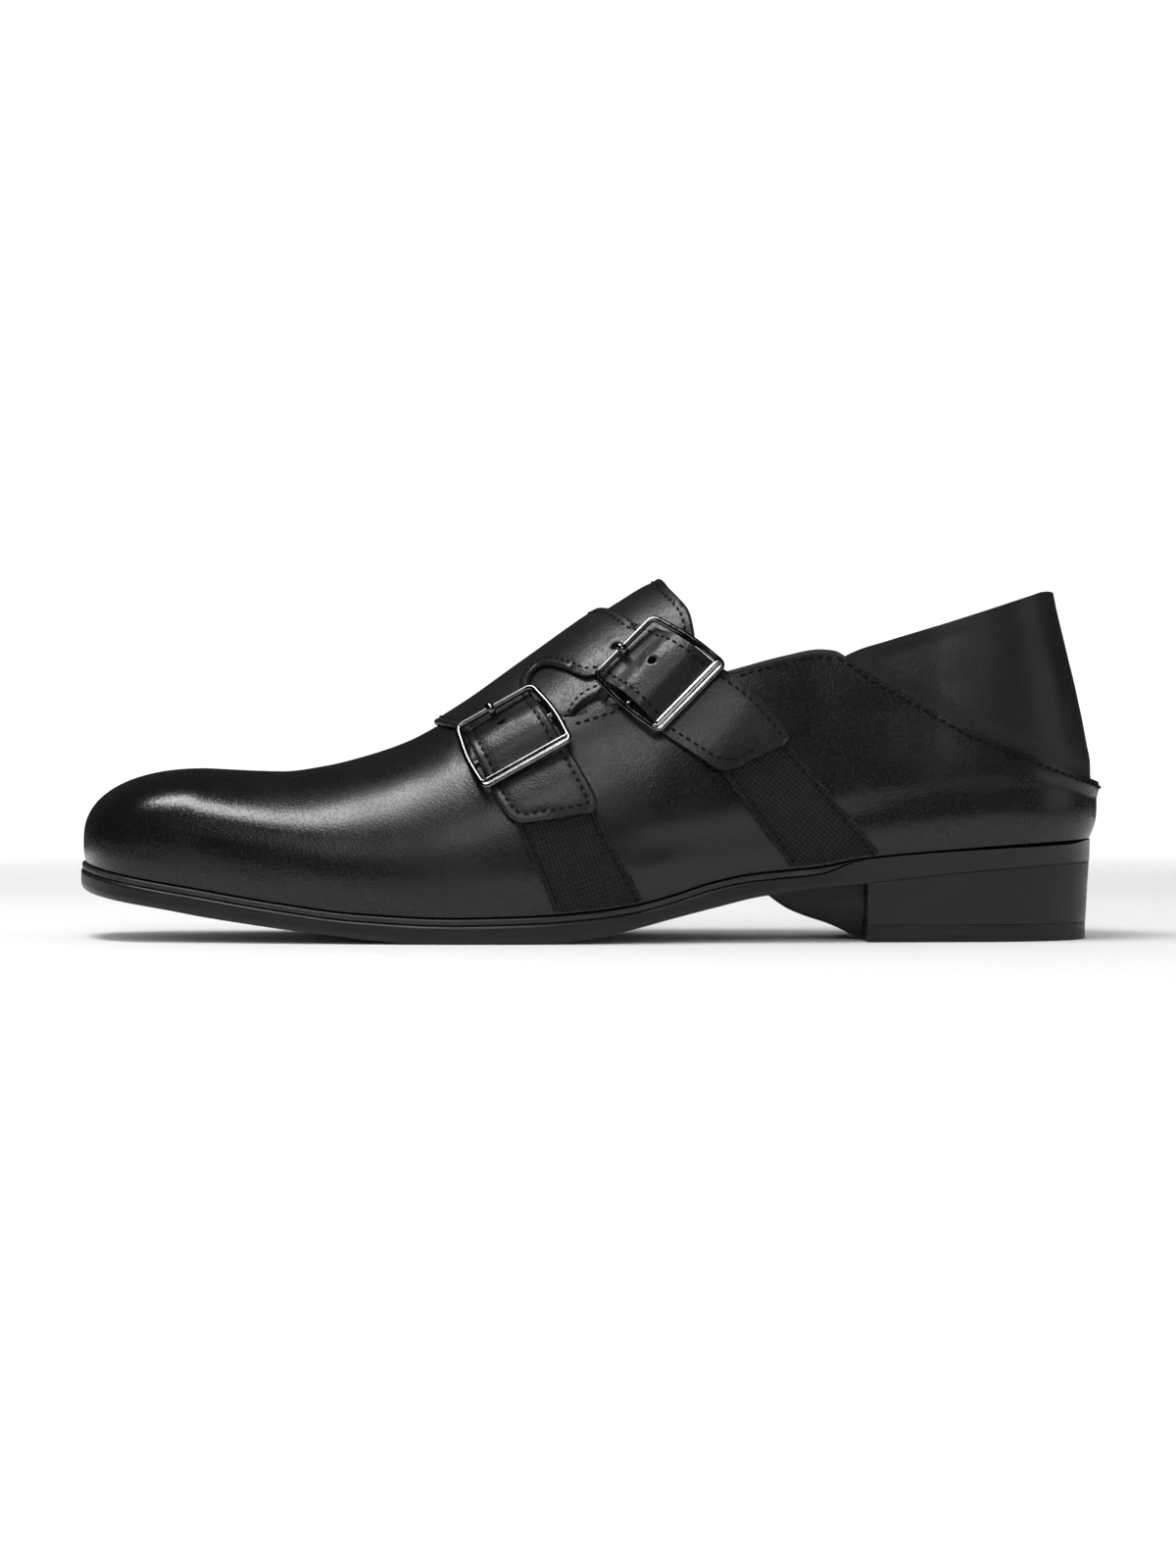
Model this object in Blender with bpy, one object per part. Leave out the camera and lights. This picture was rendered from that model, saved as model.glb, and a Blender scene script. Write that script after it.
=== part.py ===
"""Left double monk-strap loafer with a fold-down back, built as its separate pieces.

Toe at -X, heel at +X, outer (buckle) side at -Y, inner side at +Y, floor at z = 0.
Lengths in the tables and functions are millimetres; meshes are made in metres.
"""
import math

import bmesh
import bpy
from mathutils import Vector, geometry

MM = 0.001

# ---------------------------------------------------------------- driving sizes
TOE_X = -112.0            # stations ahead of this fan out round the toe
HEEL_X = 100.0            # stations behind this fan out round the heel
HEEL_BACK = 150.0         # rearmost point of the upper
WALL = 1.8                # leather and lining together
GAP = 0.35                # clearance between pieces that touch on the real shoe
SEAT_GAP = 0.3            # clearance under the upper's bottom edge
LATERAL = -1
MEDIAL = 1

# One row per section of the last. lateral, medial: greatest half breadths from the
# centre line. tuck: how far the bottom edge lies inside them. foot_z: bottom edge.
# rise: from the bottom edge up to the greatest breadth. crown: ridge of the instep, or
# behind it the height where both sides would meet. power: squareness of the section.
SECTION_COLUMNS = ("x", "lateral", "medial", "tuck_lateral", "tuck_medial", "foot_z",
                   "rise", "crown_y", "crown_z", "power")
SECTION_ROWS = (
    (-112.0, 34.6, 37.4, 0.8, 0.8, 15.8, 8.0, 4.0, 49.8, 2.60),
    (-90.0, 38.4, 41.4, 0.9, 0.9, 12.1, 8.5, 5.0, 48.9, 2.35),
    (-77.5, 40.3, 43.2, 1.0, 1.0, 10.2, 9.0, 5.0, 50.5, 2.15),
    (-64.5, 42.0, 44.4, 1.1, 1.1, 8.8, 9.5, 5.0, 53.7, 2.05),
    (-51.5, 43.6, 44.9, 1.2, 1.3, 8.0, 10.0, 4.5, 58.4, 1.97),
    (-38.0, 44.6, 44.9, 1.3, 1.6, 7.6, 10.5, 4.0, 66.0, 1.93),
    (-19.0, 44.9, 44.0, 1.8, 2.4, 8.0, 11.5, 3.0, 79.3, 1.90),
    (0.0, 44.0, 42.4, 2.6, 4.2, 9.3, 12.5, 2.0, 92.8, 1.86),
    (18.5, 42.0, 41.2, 3.4, 6.2, 12.4, 13.5, 2.0, 105.0, 1.83),
    (30.0, 40.3, 40.2, 3.8, 7.2, 15.8, 14.0, 2.0, 115.0, 1.75),
    (49.0, 37.4, 39.0, 3.8, 7.4, 20.1, 14.5, 2.2, 135.0, 1.58),
    (66.0, 35.0, 38.2, 3.2, 5.6, 21.8, 15.0, 2.5, 148.0, 1.44),
    (85.0, 33.2, 37.6, 2.6, 3.4, 25.2, 14.0, 2.5, 165.0, 1.29),
    (100.0, 32.4, 37.0, 2.4, 2.6, 26.1, 13.5, 2.5, 173.0, 1.21),
)
# Bottom edge of the upper at and beyond the fans' stations.
FOOT_COLUMNS = ("x", "z")
FOOT_ROWS = ((-150.0, 23.2), (-147.0, 22.4), (-128.0, 18.5), (-112.0, 15.8), (-90.0, 12.1),
             (-64.5, 8.8), (-38.0, 7.6), (-19.0, 8.0), (0.0, 9.3), (13.5, 11.2), (24.0, 13.9),
             (35.0, 17.4), (45.0, 19.6), (56.0, 20.8), (66.0, 21.8), (77.0, 23.9),
             (98.0, 26.0), (119.0, 27.6), (150.0, 29.5))

# Square toe: greatest reach ahead of TOE_X, its slant and its rounding towards the sides.
TOE_REACH = 36.3
TOE_SLANT = 5.0
TOE_ROUND = 5.5
TOE_SQUARENESS = 5.0
TOE_TAPER = 0.175         # narrowing of each side per millimetre ahead of TOE_X
TOE_TUCK = 0.7
TOE_RISE = 6.5
TOE_POWER = 2.25
# Heel: rounded back.
HEEL_SQUARENESS = 2.35
HEEL_TUCK = 3.1
HEEL_RISE = 13.0
HEEL_CROWN = 205.0
HEEL_POWER = 1.2

# Top edge of the upper: throat cut, slit end, quarter's hump, seam with the back.
THROAT_X = -38.0
SLIT_X = -5.0
THROAT_STATIONS = (THROAT_X, -37.0, -35.0, -32.0, -28.5, -24.5, -20.0, -15.0, -10.0, SLIT_X)
TOP_LINE_COLUMNS = ("x", "z")
TOP_LINE_ROWS = ((-38.0, 66.0), (-30.0, 65.4), (-18.0, 65.0), (-5.0, 64.0), (0.0, 65.2),
                 (10.0, 68.4), (20.0, 71.4), (30.0, 74.2), (40.8, 77.2), (56.3, 81.4),
                 (66.0, 83.2), (70.0, 82.9), (74.4, 80.6), (79.8, 75.6), (88.3, 69.2),
                 (96.9, 62.9), (107.5, 57.5), (120.3, 52.3), (132.7, 49.4), (150.5, 45.2))
# Top edge of the fold-down back.
BACK_EDGE_COLUMNS = ("x", "z")
BACK_EDGE_ROWS = ((68.0, 77.0), (71.0, 79.8), (74.4, 82.2), (86.0, 86.0), (99.4, 90.1),
                  (117.0, 95.6), (128.0, 99.1), (134.5, 101.0), (140.0, 101.3))
BACK_LAP = 6.0            # tucked inside the quarters below the seam
BACK_FRONT_Z = 72.0       # lower edge where the back ends inside the quarters' hump
BACK_THICKNESS = 1.6
BACK_START_X = 68.0
BACK_RISE = 1.3           # comes out towards the quarters' face above the seam

# Sole: edge beyond the upper's bottom edge, heights of its underside.
LEDGE_COLUMNS = ("x", "ledge")
LEDGE_ROWS = ((-150.0, 1.3), (-38.0, 1.2), (20.0, 0.9), (66.0, 0.8), (100.0, 0.5), (150.0, 0.3))
UNDERSIDE_COLUMNS = ("x", "z")
UNDERSIDE_ROWS = ((-150.0, 14.9), (-141.0, 12.9), (-119.0, 9.2), (-109.0, 7.4), (-90.0, 4.6),
                  (-71.0, 2.2), (-57.0, 0.7), (-47.0, 0.0), (-10.0, 0.0), (2.5, 1.6),
                  (13.5, 4.2), (24.0, 7.0), (35.0, 9.8), (49.5, 13.2), (79.0, 16.8),
                  (100.0, 19.2), (125.0, 21.4), (150.0, 22.8))
MIDSOLE_THICKNESS = 2.0
INSOLE_THICKNESS = 3.0
BREAST_X = 79.5
SEAT_STEP_X = 78.0        # the midsole ends here
SEAT_STEP = (78.3, 78.6)  # the outsole steps up to the heel seat between these
TOP_LIFT_HEIGHT = 5.0
HEEL_TAPER = 1.6

# ---------------------------------------------------------------- smooth tables


def column(columns, rows, name):
    """One column of a table as a list."""
    index = columns.index(name)
    return [row[index] for row in rows]


def smooth(xs, ys, x):
    """Cubic through the table without overshoot, level beyond its ends."""
    if x <= xs[0]:
        return ys[0]
    if x >= xs[-1]:
        return ys[-1]
    i = max(k for k in range(len(xs) - 1) if xs[k] <= x)

    def chord(k):
        return (ys[k + 1] - ys[k]) / (xs[k + 1] - xs[k])

    def slope(k):
        if k == 0:
            return chord(0)
        if k == len(xs) - 1:
            return chord(k - 1)
        before, after = chord(k - 1), chord(k)
        if before * after <= 0:
            return 0.0
        return 2 * before * after / (before + after)

    width = xs[i + 1] - xs[i]
    t = (x - xs[i]) / width
    rise = t * t * (3 - 2 * t)
    start = t * (1 - t) * (1 - t) * width * slope(i)
    end = t * t * (t - 1) * width * slope(i + 1)
    return ys[i] * (1 - rise) + ys[i + 1] * rise + start + end


def table(columns, rows, name):
    """A smooth function of x from one column."""
    xs = column(columns, rows, "x")
    ys = column(columns, rows, name)
    return lambda x: smooth(xs, ys, x)


SECTION = {name: table(SECTION_COLUMNS, SECTION_ROWS, name) for name in SECTION_COLUMNS[1:]}
foot_height = table(FOOT_COLUMNS, FOOT_ROWS, "z")
top_line = table(TOP_LINE_COLUMNS, TOP_LINE_ROWS, "z")
back_edge = table(BACK_EDGE_COLUMNS, BACK_EDGE_ROWS, "z")
ledge = table(LEDGE_COLUMNS, LEDGE_ROWS, "ledge")
underside = table(UNDERSIDE_COLUMNS, UNDERSIDE_ROWS, "z")


def ease(t):
    """0 to 1 with level ends."""
    t = min(1.0, max(0.0, t))
    return t * t * (3 - 2 * t)


# ---------------------------------------------------------------- ribs of the last

WIDE_AT = 0.25            # share of a rib that lies below its greatest breadth


class Rib:
    """One upright section, from the bottom edge out to its greatest breadth and up."""

    def __init__(self, centre, direction, wide, tuck, rise, crown_z, power):
        self.centre = centre
        self.direction = direction
        self.wide = wide
        self.foot = wide - tuck
        self.foot_z = foot_height(centre[0] + direction[0] * self.foot)
        self.wide_z = self.foot_z + rise
        self.crown_z = crown_z
        self.power = power

    def profile(self, u):
        """Distance from the centre and height at share u of the rib."""
        if u <= WIDE_AT:
            t = u / WIDE_AT
            return (self.foot + (self.wide - self.foot) * (1 - (1 - t) ** 2),
                    self.foot_z + (self.wide_z - self.foot_z) * t)
        angle = min(1.0, (u - WIDE_AT) / (1 - WIDE_AT)) * math.pi / 2
        out = max(0.0, math.cos(angle)) ** (2 / self.power)
        up = math.sin(angle) ** (2 / self.power)
        return self.wide * out, self.wide_z + (self.crown_z - self.wide_z) * up

    def share_at(self, z):
        """Share of the rib at height z."""
        if z <= self.wide_z:
            return WIDE_AT * max(0.0, z - self.foot_z) / (self.wide_z - self.foot_z)
        up = min(1.0, (z - self.wide_z) / (self.crown_z - self.wide_z))
        return WIDE_AT + (1 - WIDE_AT) * math.asin(up ** (self.power / 2)) * 2 / math.pi

    def point(self, u):
        """Place in space at share u."""
        reach, z = self.profile(u)
        return Vector((self.centre[0] + self.direction[0] * reach,
                       self.centre[1] + self.direction[1] * reach, z))

    def share_on(self, line):
        """Share where the rib meets a line drawn in side view as z over x."""
        z = line(self.point(WIDE_AT).x)
        for _ in range(8):
            z = line(self.point(self.share_at(z)).x)
        return self.share_at(z)


def side_rib(x, side):
    """Rib straight across the shoe at station x."""
    centre_y = SECTION["crown_y"](x)
    breadth = SECTION["lateral"](x) if side == LATERAL else SECTION["medial"](x)
    tuck = SECTION["tuck_lateral"](x) if side == LATERAL else SECTION["tuck_medial"](x)
    return Rib((x, centre_y), (0.0, float(side)), breadth - side * centre_y, tuck,
               SECTION["rise"](x), SECTION["crown_z"](x), SECTION["power"](x))


def fan_rib(centre, target, share, ends, middle):
    """Rib from a fan's centre to a point of its outline; share runs 0, 1, 0 round the fan."""
    reach = Vector((target[0] - centre[0], target[1] - centre[1]))
    values = [a + (b - a) * ease(share) for a, b in zip(ends, middle)]
    return Rib(centre, tuple(reach.normalized()), reach.length, *values)


def toe_outline(angle):
    """Greatest breadth round the toe; 0 is the outer side, pi the inner side."""
    left = -SECTION["lateral"](TOE_X)
    right = SECTION["medial"](TOE_X)
    across = -math.copysign(abs(math.cos(angle)) ** (2 / TOE_SQUARENESS), math.cos(angle))
    reach = TOE_REACH + TOE_SLANT * across - TOE_ROUND * across ** 2
    ahead = reach * abs(math.sin(angle)) ** (2 / TOE_SQUARENESS)
    half = (right - left) / 2 - TOE_TAPER * ahead
    return (TOE_X - ahead, (left + right) / 2 + half * across)


def heel_outline(angle):
    """Greatest breadth round the heel; 0 is the inner side, pi the outer side."""
    left = -SECTION["lateral"](HEEL_X)
    right = SECTION["medial"](HEEL_X)
    across = math.copysign(abs(math.cos(angle)) ** (2 / HEEL_SQUARENESS), math.cos(angle))
    behind = (HEEL_BACK - HEEL_X) * abs(math.sin(angle)) ** (2 / HEEL_SQUARENESS)
    return (HEEL_X + behind, (left + right) / 2 + (right - left) / 2 * across)


def spaced(outline, count):
    """Points at even distances along an outline of angle 0 to pi, without its ends."""
    fine = [outline(math.pi * k / 400) for k in range(401)]
    run = [0.0]
    for a, b in zip(fine, fine[1:]):
        run.append(run[-1] + math.hypot(b[0] - a[0], b[1] - a[1]))
    points = []
    for k in range(1, count):
        goal = run[-1] * k / count
        i = max(n for n in range(len(run)) if run[n] <= goal)
        t = (goal - run[i]) / (run[i + 1] - run[i])
        points.append([fine[i][c] + (fine[i + 1][c] - fine[i][c]) * t for c in (0, 1)])
    return points


def fan_ribs(outline, station, count, back):
    """Ribs of the toe or heel fan, in order round it."""
    centre = (station, SECTION["crown_y"](station))
    crown, power = SECTION["crown_z"](station), SECTION["power"](station)
    if back:
        middle = (HEEL_TUCK, HEEL_RISE, HEEL_CROWN, HEEL_POWER)
    else:
        middle = (TOE_TUCK, TOE_RISE, crown, TOE_POWER)
    ribs = []
    for target in spaced(outline, count):
        turn = abs(target[0] - station) / max(abs(outline(math.pi / 2)[0] - station), 1.0)
        inner = target[1] > centre[1]
        tuck = SECTION["tuck_medial" if inner else "tuck_lateral"](station)
        ends = (tuck, SECTION["rise"](station), crown, power)
        ribs.append(fan_rib(centre, target, turn, ends, middle))
    return ribs


def stations(step, extra=()):
    """Stations along the sides, evenly spaced, with extra ones where an edge turns."""
    count = round((HEEL_X - TOE_X) / step)
    even = [TOE_X + (HEEL_X - TOE_X) * k / count for k in range(count + 1)]
    kept = [x for x in even if all(abs(x - e) > step * 0.45 for e in extra)]
    return sorted(kept + list(extra))


def perimeter(xs, toe_count, heel_count):
    """Ribs once round the shoe: outer side forward, toe, inner side back, heel."""
    ribs = [side_rib(x, LATERAL) for x in reversed(xs)]
    ribs += fan_ribs(toe_outline, TOE_X, toe_count, False)
    ribs += [side_rib(x, MEDIAL) for x in xs]
    ribs += fan_ribs(heel_outline, HEEL_X, heel_count, True)
    return ribs


# ---------------------------------------------------------------- surface of the last

GIRTH = 90.0              # girth coordinate w runs from 0 at the ridge to this at the foot


def surface(x, w):
    """Point of the last at station x and girth w, outer side negative."""
    side = LATERAL if w < 0 else MEDIAL
    return side_rib(x, side).point(1 - min(1.0, abs(w) / GIRTH))


def normal(x, w):
    """Outward direction of the last."""
    e = 0.4
    along = surface(x + e, w) - surface(x - e, w)
    w = min(GIRTH - e, max(e - GIRTH, w))
    across = surface(x, w + e) - surface(x, w - e)
    return across.cross(along).normalized() * -1


def shell(x, w, offset):
    """Point at a distance off the last."""
    return surface(x, w) + normal(x, w) * offset


def girth_at(x, z, side, offset=0.0):
    """Girth coordinate where a shell at some offset has height z at station x."""
    rib = side_rib(x, side)
    w = side * GIRTH * (1 - rib.share_at(z))
    if offset:
        for _ in range(6):
            w = side * GIRTH * (1 - rib.share_at(z - offset * normal(x, w).z))
    return w


def nearest_on_last(point):
    """Station and girth of the last's outer side nearest to a point in space."""
    x, w = point.x, girth_at(point.x, point.z, LATERAL)
    e = 0.5
    for _ in range(30):
        miss = point - surface(x, w)
        out = normal(x, w)
        miss -= out * miss.dot(out)
        round_it = (surface(x, w + e) - surface(x, w - e)) / (2 * e)
        x += miss.x * 0.8
        w = min(-0.01, w + 0.8 * miss.dot(round_it) / round_it.length_squared)
    return x, w


# ---------------------------------------------------------------- meshes and materials


def material(name, colour, roughness, metallic=0.0):
    """Plain surface."""
    made = bpy.data.materials.new(name)
    made.use_nodes = True
    shader = made.node_tree.nodes["Principled BSDF"]
    shader.inputs["Base Color"].default_value = (*colour, 1.0)
    shader.inputs["Roughness"].default_value = roughness
    shader.inputs["Metallic"].default_value = metallic
    return made


def add_object(name, vertices, faces, surface_material):
    """Closed mesh in metres from points in millimetres, shaded smooth."""
    mesh = bpy.data.meshes.new(name)
    mesh.from_pydata([tuple(Vector(v) * MM) for v in vertices], [], faces)
    work = bmesh.new()
    work.from_mesh(mesh)
    bmesh.ops.remove_doubles(work, verts=work.verts, dist=0.00001)
    bmesh.ops.recalc_face_normals(work, faces=work.faces)
    work.to_mesh(mesh)
    work.free()
    mesh.shade_smooth()
    mesh.set_sharp_from_angle(angle=math.radians(40))
    mesh.materials.append(surface_material)
    made = bpy.data.objects.new(name, mesh)
    bpy.context.scene.collection.objects.link(made)
    return made


def welded(vertices, faces):
    """Merge points that coincide and drop the faces that vanish."""
    index, kept, new = {}, [], []
    for v in vertices:
        key = tuple(round(c, 4) for c in v)
        if key not in index:
            index[key] = len(kept)
            kept.append(Vector(v))
        new.append(index[key])
    clean = []
    for face in faces:
        loop = []
        for v in (new[i] for i in face):
            if v not in loop:
                loop.append(v)
        if len(loop) > 2:
            clean.append(tuple(loop))
    return kept, clean


def sheet_normals(vertices, faces):
    """Averaged directions at each point of a sheet."""
    total = [Vector((0, 0, 0)) for _ in vertices]
    for face in faces:
        corners = [vertices[i] for i in face]
        area = Vector((0, 0, 0))
        for a, b in zip(corners[1:], corners[2:]):
            area += (a - corners[0]).cross(b - corners[0])
        for i in face:
            total[i] += area
    return [t.normalized() for t in total]


def solid_from_sheet(name, vertices, faces, directions, outer, inner, surface_material):
    """Wall between two distances off a sheet, closed along the sheet's edges."""
    count = len(vertices)
    skin = [v + d * o for v, d, o in zip(vertices, directions, outer)]
    skin += [v + d * o for v, d, o in zip(vertices, directions, inner)]
    walls = list(faces) + [tuple(i + count for i in reversed(face)) for face in faces]
    edges = {}
    for face in faces:
        for a, b in zip(face, face[1:] + face[:1]):
            edges[(a, b)] = True
    for a, b in edges:
        if (b, a) not in edges:
            walls.append((b, a, a + count, b + count))
    return add_object(name, skin, walls, surface_material)


def rib_sheet(ribs, low, high, rows, closed):
    """Grid on the last from share low(rib) to share high(rib), rows evenly spaced."""
    vertices, faces = [], []
    for rib in ribs:
        shares = [low(rib) + (high(rib) - low(rib)) * k / 60 for k in range(61)]
        fine = [rib.point(u) for u in shares]
        run = [0.0]
        for a, b in zip(fine, fine[1:]):
            run.append(run[-1] + (b - a).length)
        for row in range(rows + 1):
            goal = run[-1] * row / rows
            i = min(59, max(n for n in range(61) if run[n] <= goal + 1e-9))
            t = (goal - run[i]) / (run[i + 1] - run[i])
            vertices.append(fine[i].lerp(fine[i + 1], t))
    last = len(ribs) if closed else len(ribs) - 1
    for k in range(last):
        here, there = k * (rows + 1), (k + 1) % len(ribs) * (rows + 1)
        for row in range(rows):
            faces.append((here + row, here + row + 1, there + row + 1, there + row))
    return welded(vertices, faces)


# ---------------------------------------------------------------- sole pieces


def plate(name, ribs, closed, outline, side_rows, top, bottom, surface_material):
    """Board over the whole foot or the heel, between two heights given over x.

    side_rows gives, for a rib, the edge from top to bottom as inset and share of height.
    """
    shares = (0.0, 0.55)
    columns = []
    for rib in ribs:
        centre = Vector((rib.centre[0], rib.centre[1], 0))
        direction = Vector((rib.direction[0], rib.direction[1], 0))
        reach = outline(rib)
        rows = side_rows(rib)
        ring = []
        first, last = rows[0][0], rows[-1][0]
        for share in shares:
            ring.append((centre + direction * (reach - first) * share, 1.0))
        for inset, height in rows:
            ring.append((centre + direction * (reach - inset), height))
        for share in reversed(shares):
            ring.append((centre + direction * (reach - last) * share, 0.0))
        columns.append([Vector((p.x, p.y, bottom(p.x) + (top(p.x) - bottom(p.x)) * h))
                        for p, h in ring])
    size = len(columns[0])
    vertices = [p for points in columns for p in points]
    faces = []
    last = len(ribs) if closed else len(ribs) - 1
    for k in range(last):
        here, there = k * size, (k + 1) % len(ribs) * size
        for row in range(size - 1):
            faces.append((here + row, here + row + 1, there + row + 1, there + row))
    if not closed:
        faces.append(tuple(range(size)))
        faces.append(tuple(reversed(range((len(ribs) - 1) * size, len(ribs) * size))))
    vertices, faces = welded(vertices, faces)
    return add_object(name, vertices, faces, surface_material)


def sole_reach(rib):
    """Distance from the centre to the sole's edge."""
    return rib.foot + ledge(rib.point(0).x)


def midsole_top(x):
    """Face that the upper stands on."""
    return foot_height(x) - SEAT_GAP


def outsole_top(x):
    """Top of the outsole: under the midsole, and higher as the heel seat."""
    if x < sum(SEAT_STEP) / 2:
        return midsole_top(x) - MIDSOLE_THICKNESS - GAP
    return midsole_top(x)


def insole_reach(rib):
    """Distance from the centre to the insole's edge, clear of the upper's wall."""
    slope = 2 * (rib.wide - rib.foot) / (rib.wide_z - rib.foot_z)
    return rib.foot - WALL * math.hypot(1, slope) - GAP


def sole_ribs():
    """Ribs for the sole pieces."""
    return perimeter(stations(9.0, (SEAT_STEP_X, *SEAT_STEP)), 18, 16)


def forward_of(ribs, x):
    """The open run of ribs ahead of a station, outer side to inner side."""
    return [rib for rib in ribs if rib.centre[0] <= x + 0.01]


def heel_ribs():
    """The open run of ribs from the heel breast round the back."""
    xs = (BREAST_X, 90.0, HEEL_X)
    return ([side_rib(x, MEDIAL) for x in xs]
            + fan_ribs(heel_outline, HEEL_X, 12, True)
            + [side_rib(x, LATERAL) for x in reversed(xs)])


def sole_edge(rib):
    """Rounded edge of the outsole, plain where the heel is flush with it."""
    round_off = 1.0 - ease((rib.centre[0] + 10 - SEAT_STEP_X) / 10)
    return ((0.4, 1.0), (0.0, 0.8), (0.0, 0.4), (0.2 + 1.2 * round_off, 0.0))


def even_edge(inset):
    """Upright edge with one inset."""
    return lambda rib: ((inset, 1.0), (inset, 0.0))


# The ramp's lower line, from the waist back to the heel's front edge.
RAMP_COLUMNS = ("x", "z")
RAMP_ROWS = ((52.3, 12.9), (58.0, 8.8), (63.5, 6.6), (69.0, 4.8), (73.5, 2.9), (76.8, 1.2),
             (79.0, 1.0))
RAMP_HALF_WIDTH = 19.0
RAMP_NARROWING = 0.16     # half width lost per millimetre ahead of the heel
RAMP_ROOT_X = 82.0
RAMP_ROOT_DROP = 0.4
RAMP_ROOT_CLEARANCE = 0.3 # the root stays this far above the heel block's lower face
RAMP_STEP_RUN = 0.1       # length of the steep face up to the root


def make_ramp(surface_material):
    """Ramp ahead of the heel, its root inside the heel block."""
    floor = TOP_LIFT_HEIGHT + GAP + RAMP_ROOT_CLEARANCE
    line = table(RAMP_COLUMNS, RAMP_ROWS, "z")
    rows = [(x, line(x)) for x in column(RAMP_COLUMNS, RAMP_ROWS, "x")]
    rows += [(BREAST_X - GAP + RAMP_STEP_RUN, floor), (RAMP_ROOT_X, floor)]
    vertices, faces = [], []
    for x, low in rows:
        half = RAMP_HALF_WIDTH - RAMP_NARROWING * (BREAST_X - x)
        middle = SECTION["crown_y"](x)
        high = underside(x) - GAP - (RAMP_ROOT_DROP if x > RAMP_ROWS[-2][0] else 0.0)
        vertices += [(x, middle - half, high), (x, middle + half, high),
                     (x, middle + half, low), (x, middle - half, low)]
    for k in range(len(rows) - 1):
        for a in range(4):
            b = (a + 1) % 4
            faces.append((4 * k + a, 4 * k + b, 4 * k + 4 + b, 4 * k + 4 + a))
    faces += [(0, 1, 2, 3), tuple(4 * (len(rows) - 1) + a for a in (3, 2, 1, 0))]
    ramp = add_object("ramp_form", vertices, faces, surface_material)
    ramp.hide_render = True
    ramp.display_type = "WIRE"
    return ramp


def make_heel(leather):
    """Heel block with its ramp, and the top lift under it."""
    ribs = heel_ribs()
    block = plate("heel_block", ribs, False, sole_reach,
                  lambda rib: ((0.2, 1.0), (0.2 + HEEL_TAPER * 0.75, 0.0)),
                  lambda x: underside(x) - GAP, lambda x: TOP_LIFT_HEIGHT + GAP, leather)
    joint = block.modifiers.new("ramp", "BOOLEAN")
    joint.operation = "UNION"
    joint.object = make_ramp(leather)
    plate("top_lift", ribs, False, sole_reach,
          lambda rib: ((HEEL_TAPER, 1.0), (HEEL_TAPER + 0.3, 0.4), (HEEL_TAPER + 1.8, 0.0)),
          lambda x: TOP_LIFT_HEIGHT, lambda x: 0.0, leather)


def make_sole(leather, lining):
    """Outsole, midsole and insole."""
    ribs = sole_ribs()
    plate("outsole", ribs, True, sole_reach, sole_edge, outsole_top, underside, leather)
    plate("midsole", forward_of(ribs, SEAT_STEP_X), False, sole_reach, even_edge(0.3),
          midsole_top, lambda x: midsole_top(x) - MIDSOLE_THICKNESS, leather)
    plate("insole", ribs, True, insole_reach, even_edge(0.0),
          lambda x: foot_height(x) + INSOLE_THICKNESS, foot_height, lining)


# ---------------------------------------------------------------- upper


def make_upper(leather):
    """Vamp and quarters: one wall, open underneath, at the throat and at the collar."""
    xs = stations(9.0, (*THROAT_STATIONS, 0.0, 9.0, 18.0, 66.0, 70.0, 74.4, 79.8))
    ribs = perimeter(xs, 18, 18)

    def high(rib):
        if rib.centre[0] <= THROAT_X:
            return 1.0
        return rib.share_on(top_line)

    vertices, faces = rib_sheet(ribs, lambda rib: 0.0, high, 9, True)
    directions = sheet_normals(vertices, faces)
    outward = [0.0] * len(vertices)
    inward = [-WALL] * len(vertices)
    solid_from_sheet("upper", vertices, faces, directions, outward, inward, leather)


# ---------------------------------------------------------------- patches on the last

RIDGE = "ridge"
FOOT = "foot"
FOOT_MARGIN = {LATERAL: 1.6, MEDIAL: 2.8}   # girth left between a patch and the sole


FREE_SHARE = 0.55         # inner points keep this share of a step from rims and ridges


def curve_through(points, step):
    """Smooth curve through points in the plane, sampled about every step."""
    if len(points) == 2:
        count = max(1, round((points[1] - points[0]).length / step))
        return [points[0].lerp(points[1], k / count) for k in range(count + 1)]
    padded = [2 * points[0] - points[1], *points, 2 * points[-1] - points[-2]]
    samples = [points[0]]
    for a, b, c, d in zip(padded, padded[1:], padded[2:], padded[3:]):
        count = max(1, round((c - b).length / step))
        for k in range(1, count + 1):
            t = k / count
            samples.append(0.5 * (2 * b + (c - a) * t + (2 * a - 5 * b + 4 * c - d) * t ** 2
                                  + (3 * b - a - 3 * c + d) * t ** 3))
    return samples


def trimmed(line, cut):
    """Polyline shortened at its start by a distance."""
    line = list(line)
    while len(line) > 2 and (line[1] - line[0]).length < cut:
        cut -= (line[1] - line[0]).length
        line.pop(0)
    line[0] = line[0].lerp(line[1], min(0.9, cut / max(1e-6, (line[1] - line[0]).length)))
    return line


def closed_outline(edges, step):
    """Loop from (points, corner) edges; corner is the rounding where the edge ends."""
    lines = [curve_through([Vector(p) for p in points], step) for points, _ in edges]
    corners = [line[-1] for line in lines]
    for k, (_, cut) in enumerate(edges):
        if cut:
            after = (k + 1) % len(edges)
            lines[k] = trimmed(lines[k][::-1], cut)[::-1]
            lines[after] = trimmed(lines[after], cut)
    loop = []
    for k, (_, cut) in enumerate(edges):
        loop += lines[k][1:] if loop and not edges[k - 1][1] else lines[k]
        if cut:
            start, end = lines[k][-1], lines[(k + 1) % len(edges)][0]
            turns = 4
            for n in range(1, turns):
                t = n / turns
                loop.append(start * (1 - t) ** 2 + corners[k] * 2 * t * (1 - t) + end * t ** 2)
    if (loop[0] - loop[-1]).length < 1e-4:
        loop.pop()
    return loop


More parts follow.
